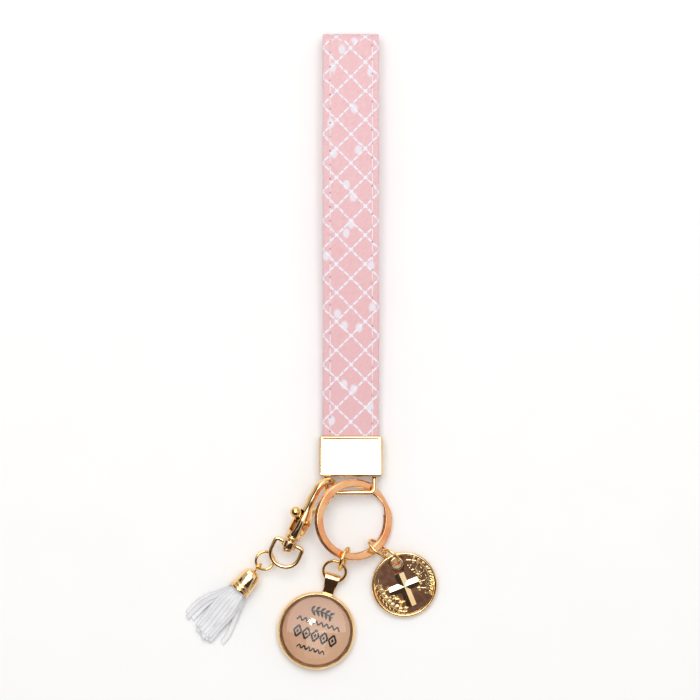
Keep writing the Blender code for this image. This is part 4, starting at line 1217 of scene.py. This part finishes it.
def make_fringe():
    """Suede strips in five layers, held in the cap and lying down to the table, with a few strays."""
    rng = random.Random(21)
    forms, uvs, total = [], [], 0.0
    rest = CAP_TOP.z

    def add(start, end, bulge, lift, twist, width, cut, wander):
        nonlocal total
        form = strip_form(start, end, bulge, lift, twist, width, cut, wander)
        forms.append(form)
        tint = rng.random()
        stations = len(form[0]) // len(STRIP_SECTION)
        # U, the distance from a strip's middle, drives the suede's painted shade at the strip edges.
        uvs.extend([(abs(a), tint) for a, _ in STRIP_SECTION] * stations)
        total += end[2] - STRIP_START

    layers = ((5, -2.4, 0.4, 30.4, 2.9), (6, -1.25, 0.95, 31.6, 3.3), (6, -0.1, 1.5, 32.0, 3.4),
              (6, 1.05, 2.05, 31.6, 3.3), (5, 2.15, 2.6, 30.8, 2.7))
    for count, start_y, end_z, reach, spread in layers:
        room = sqrt(max(0.0, 3.0 ** 2 - start_y ** 2))
        order = list(range(count))
        rng.shuffle(order)
        for k in order:
            t = (k / (count - 1)) * 2 - 1
            end_x = 0.5 + spread * t + rng.uniform(-0.3, 0.3)
            length = reach - 1.1 * t * t + 0.8 * t + rng.uniform(-0.5, 0.5)
            end_y = end_z - rest + rng.uniform(-0.15, 0.15)
            add((room * t * 0.82, start_y), (end_x, end_y, length), 0.75 * t, rng.uniform(0.0, 0.4),
                rng.uniform(-0.3, 0.3), STRIP_WIDTH * rng.uniform(0.88, 1.1), rng.uniform(-0.2, 0.6),
                rng.uniform(-0.5, 0.5))
    for start_x, end_x, end_z, length, twist, bulge in ((-2.5, -9.3, 0.45, 28.9, 0.5, -0.5),
                                                        (-2.4, -8.0, 1.0, 30.2, -0.25, -0.6),
                                                        (-2.1, -6.3, 0.5, 29.2, 0.15, -0.5),
                                                        (2.6, 8.2, 0.45, 28.9, 0.12, -0.3)):
        add((start_x, -0.6), (end_x, end_z - rest, length), bulge, 0.2, twist, STRIP_WIDTH, 0.35, 0.25)
    fringe = build("tassel_strips", join_forms(forms), suede("white_nap"), tassel_frame(), 50.0, uvs=uvs)
    finish_piece(fringe, "tassel", "white_suede", "tassel_fringe")
    strips = len(forms)
    total / strips * MM


# ---- studio

VIEW_WIDTH = 266.7
CAMERA_HEIGHT, SENSOR = 2.6, 36.0
FLOOR_HALF, FLOOR_DROP = 3.0, 0.0003
VIEW_CENTRE = Vector((-0.34, 48.2, 0.0))


def card(name, corners, colour):
    """A flat card that only shows in reflections."""
    mesh = bpy.data.meshes.new(name)
    mesh.from_pydata(corners, [], [(0, 1, 2, 3)])
    obj = bpy.data.objects.new(name, mesh)
    bpy.context.scene.collection.objects.link(obj)
    material = bpy.data.materials.new(name)
    material.use_nodes = True
    shader = material.node_tree.nodes["Principled BSDF"]
    shader.inputs["Base Color"].default_value = colour
    shader.inputs["Roughness"].default_value = 1.0
    mesh.materials.append(material)
    obj.visible_camera = False
    obj.visible_diffuse = False
    obj.visible_shadow = False
    obj.visible_transmission = False
    return obj


def area_light(name, place, size_x, size_y, radiance, target, gloss_only=False, colour=(1, 1, 1)):
    data = bpy.data.lights.new(name, "AREA")
    data.shape = "RECTANGLE"
    data.size, data.size_y = size_x, size_y
    data.energy = radiance * pi * size_x * size_y
    data.color = colour
    light = bpy.data.objects.new(name, data)
    light.location = place
    direction = Vector(target) - Vector(place)
    light.rotation_euler = direction.to_track_quat("-Z", "Y").to_euler()
    light.visible_camera = False
    light.visible_diffuse = not gloss_only
    bpy.context.scene.collection.objects.link(light)
    return light


def make_studio():
    scene = bpy.context.scene
    scene.view_settings.view_transform = "Standard"
    world = bpy.data.worlds.new("studio")
    world.use_nodes = True
    background = world.node_tree.nodes["Background"]
    background.inputs["Color"].default_value = (1.0, 0.985, 0.965, 1.0)
    background.inputs["Strength"].default_value = 0.55
    scene.world = world

    floor_mesh = bpy.data.meshes.new("floor")
    square = box_outline(-FLOOR_HALF, FLOOR_HALF, -FLOOR_HALF, FLOOR_HALF)
    floor_mesh.from_pydata(shaped(square), [], [(0, 1, 2, 3)])
    floor = bpy.data.objects.new("floor", floor_mesh)
    scene.collection.objects.link(floor)
    floor.location.z = -FLOOR_DROP
    n = Nodes("white_table")
    grain = n.noise(35.0, 2.0)
    n.set(Base_Color=n.blend(n.ramp(grain, 0.3, 0.7), (0.93, 0.93, 0.93, 1), (0.92, 0.92, 0.92, 1)),
          Roughness=0.9)
    floor_mesh.materials.append(n.material)

    area_light("top_softbox", (0.0, 0.40, 1.2), 0.95, 1.14, 3.3, (0.0, 0.40, 0.0))
    area_light("right_panel", (1.5, 0.1, 1.2), 1.5, 1.5, 0.38, (0.0, 0.0, 0.1), True, (1.0, 0.86, 0.72))
    area_light("far_panel", (0.0, 1.7, 1.0), 2.0, 1.2, 1.3, (0.0, 0.0, 0.1), True)
    spark = MEDALLION_CENTRE * MM + ORIGIN + Vector((-0.045, 0.038, 1.15))
    small = area_light("spark", spark, 0.055, 0.055, 20.0, spark - UP, True)
    small.rotation_euler.z = radians(35.0)
    dark = (0.050, 0.030, 0.024, 1.0)
    card("card_low", [(-0.9, -0.28, 1.15), (0.9, -0.28, 1.15), (0.9, -1.30, 0.35),
                      (-0.9, -1.30, 0.35)], dark)
    card("card_left", [(-1.15, -0.9, 0.30), (-1.15, 0.95, 0.30), (-1.15, 0.95, 1.30),
                       (-1.15, -0.9, 1.30)], dark)
    card("card_right", [(1.1, -0.9, 0.08), (1.1, 0.9, 0.08), (1.0, 0.9, 0.36), (1.0, -0.9, 0.36)], dark)

    camera = bpy.data.cameras.new("camera")
    camera.sensor_width = SENSOR
    camera.lens = SENSOR * CAMERA_HEIGHT / (VIEW_WIDTH * MM)
    camera.clip_end = 20.0
    camera_object = bpy.data.objects.new("camera", camera)
    camera_object.location = ORIGIN + VIEW_CENTRE * MM + Vector((0, 0, CAMERA_HEIGHT))
    scene.collection.objects.link(camera_object)
    scene.camera = camera_object


def main():
    for step in (make_studio, make_strap, make_clamp, make_bail, make_key_ring, make_rings, make_tray,
                 make_seat, make_print, make_glass, make_coin, make_hook, make_lever, make_pin_and_spring,
                 make_swivel_loop, make_cap, make_fringe):
        step()
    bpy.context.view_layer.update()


main()
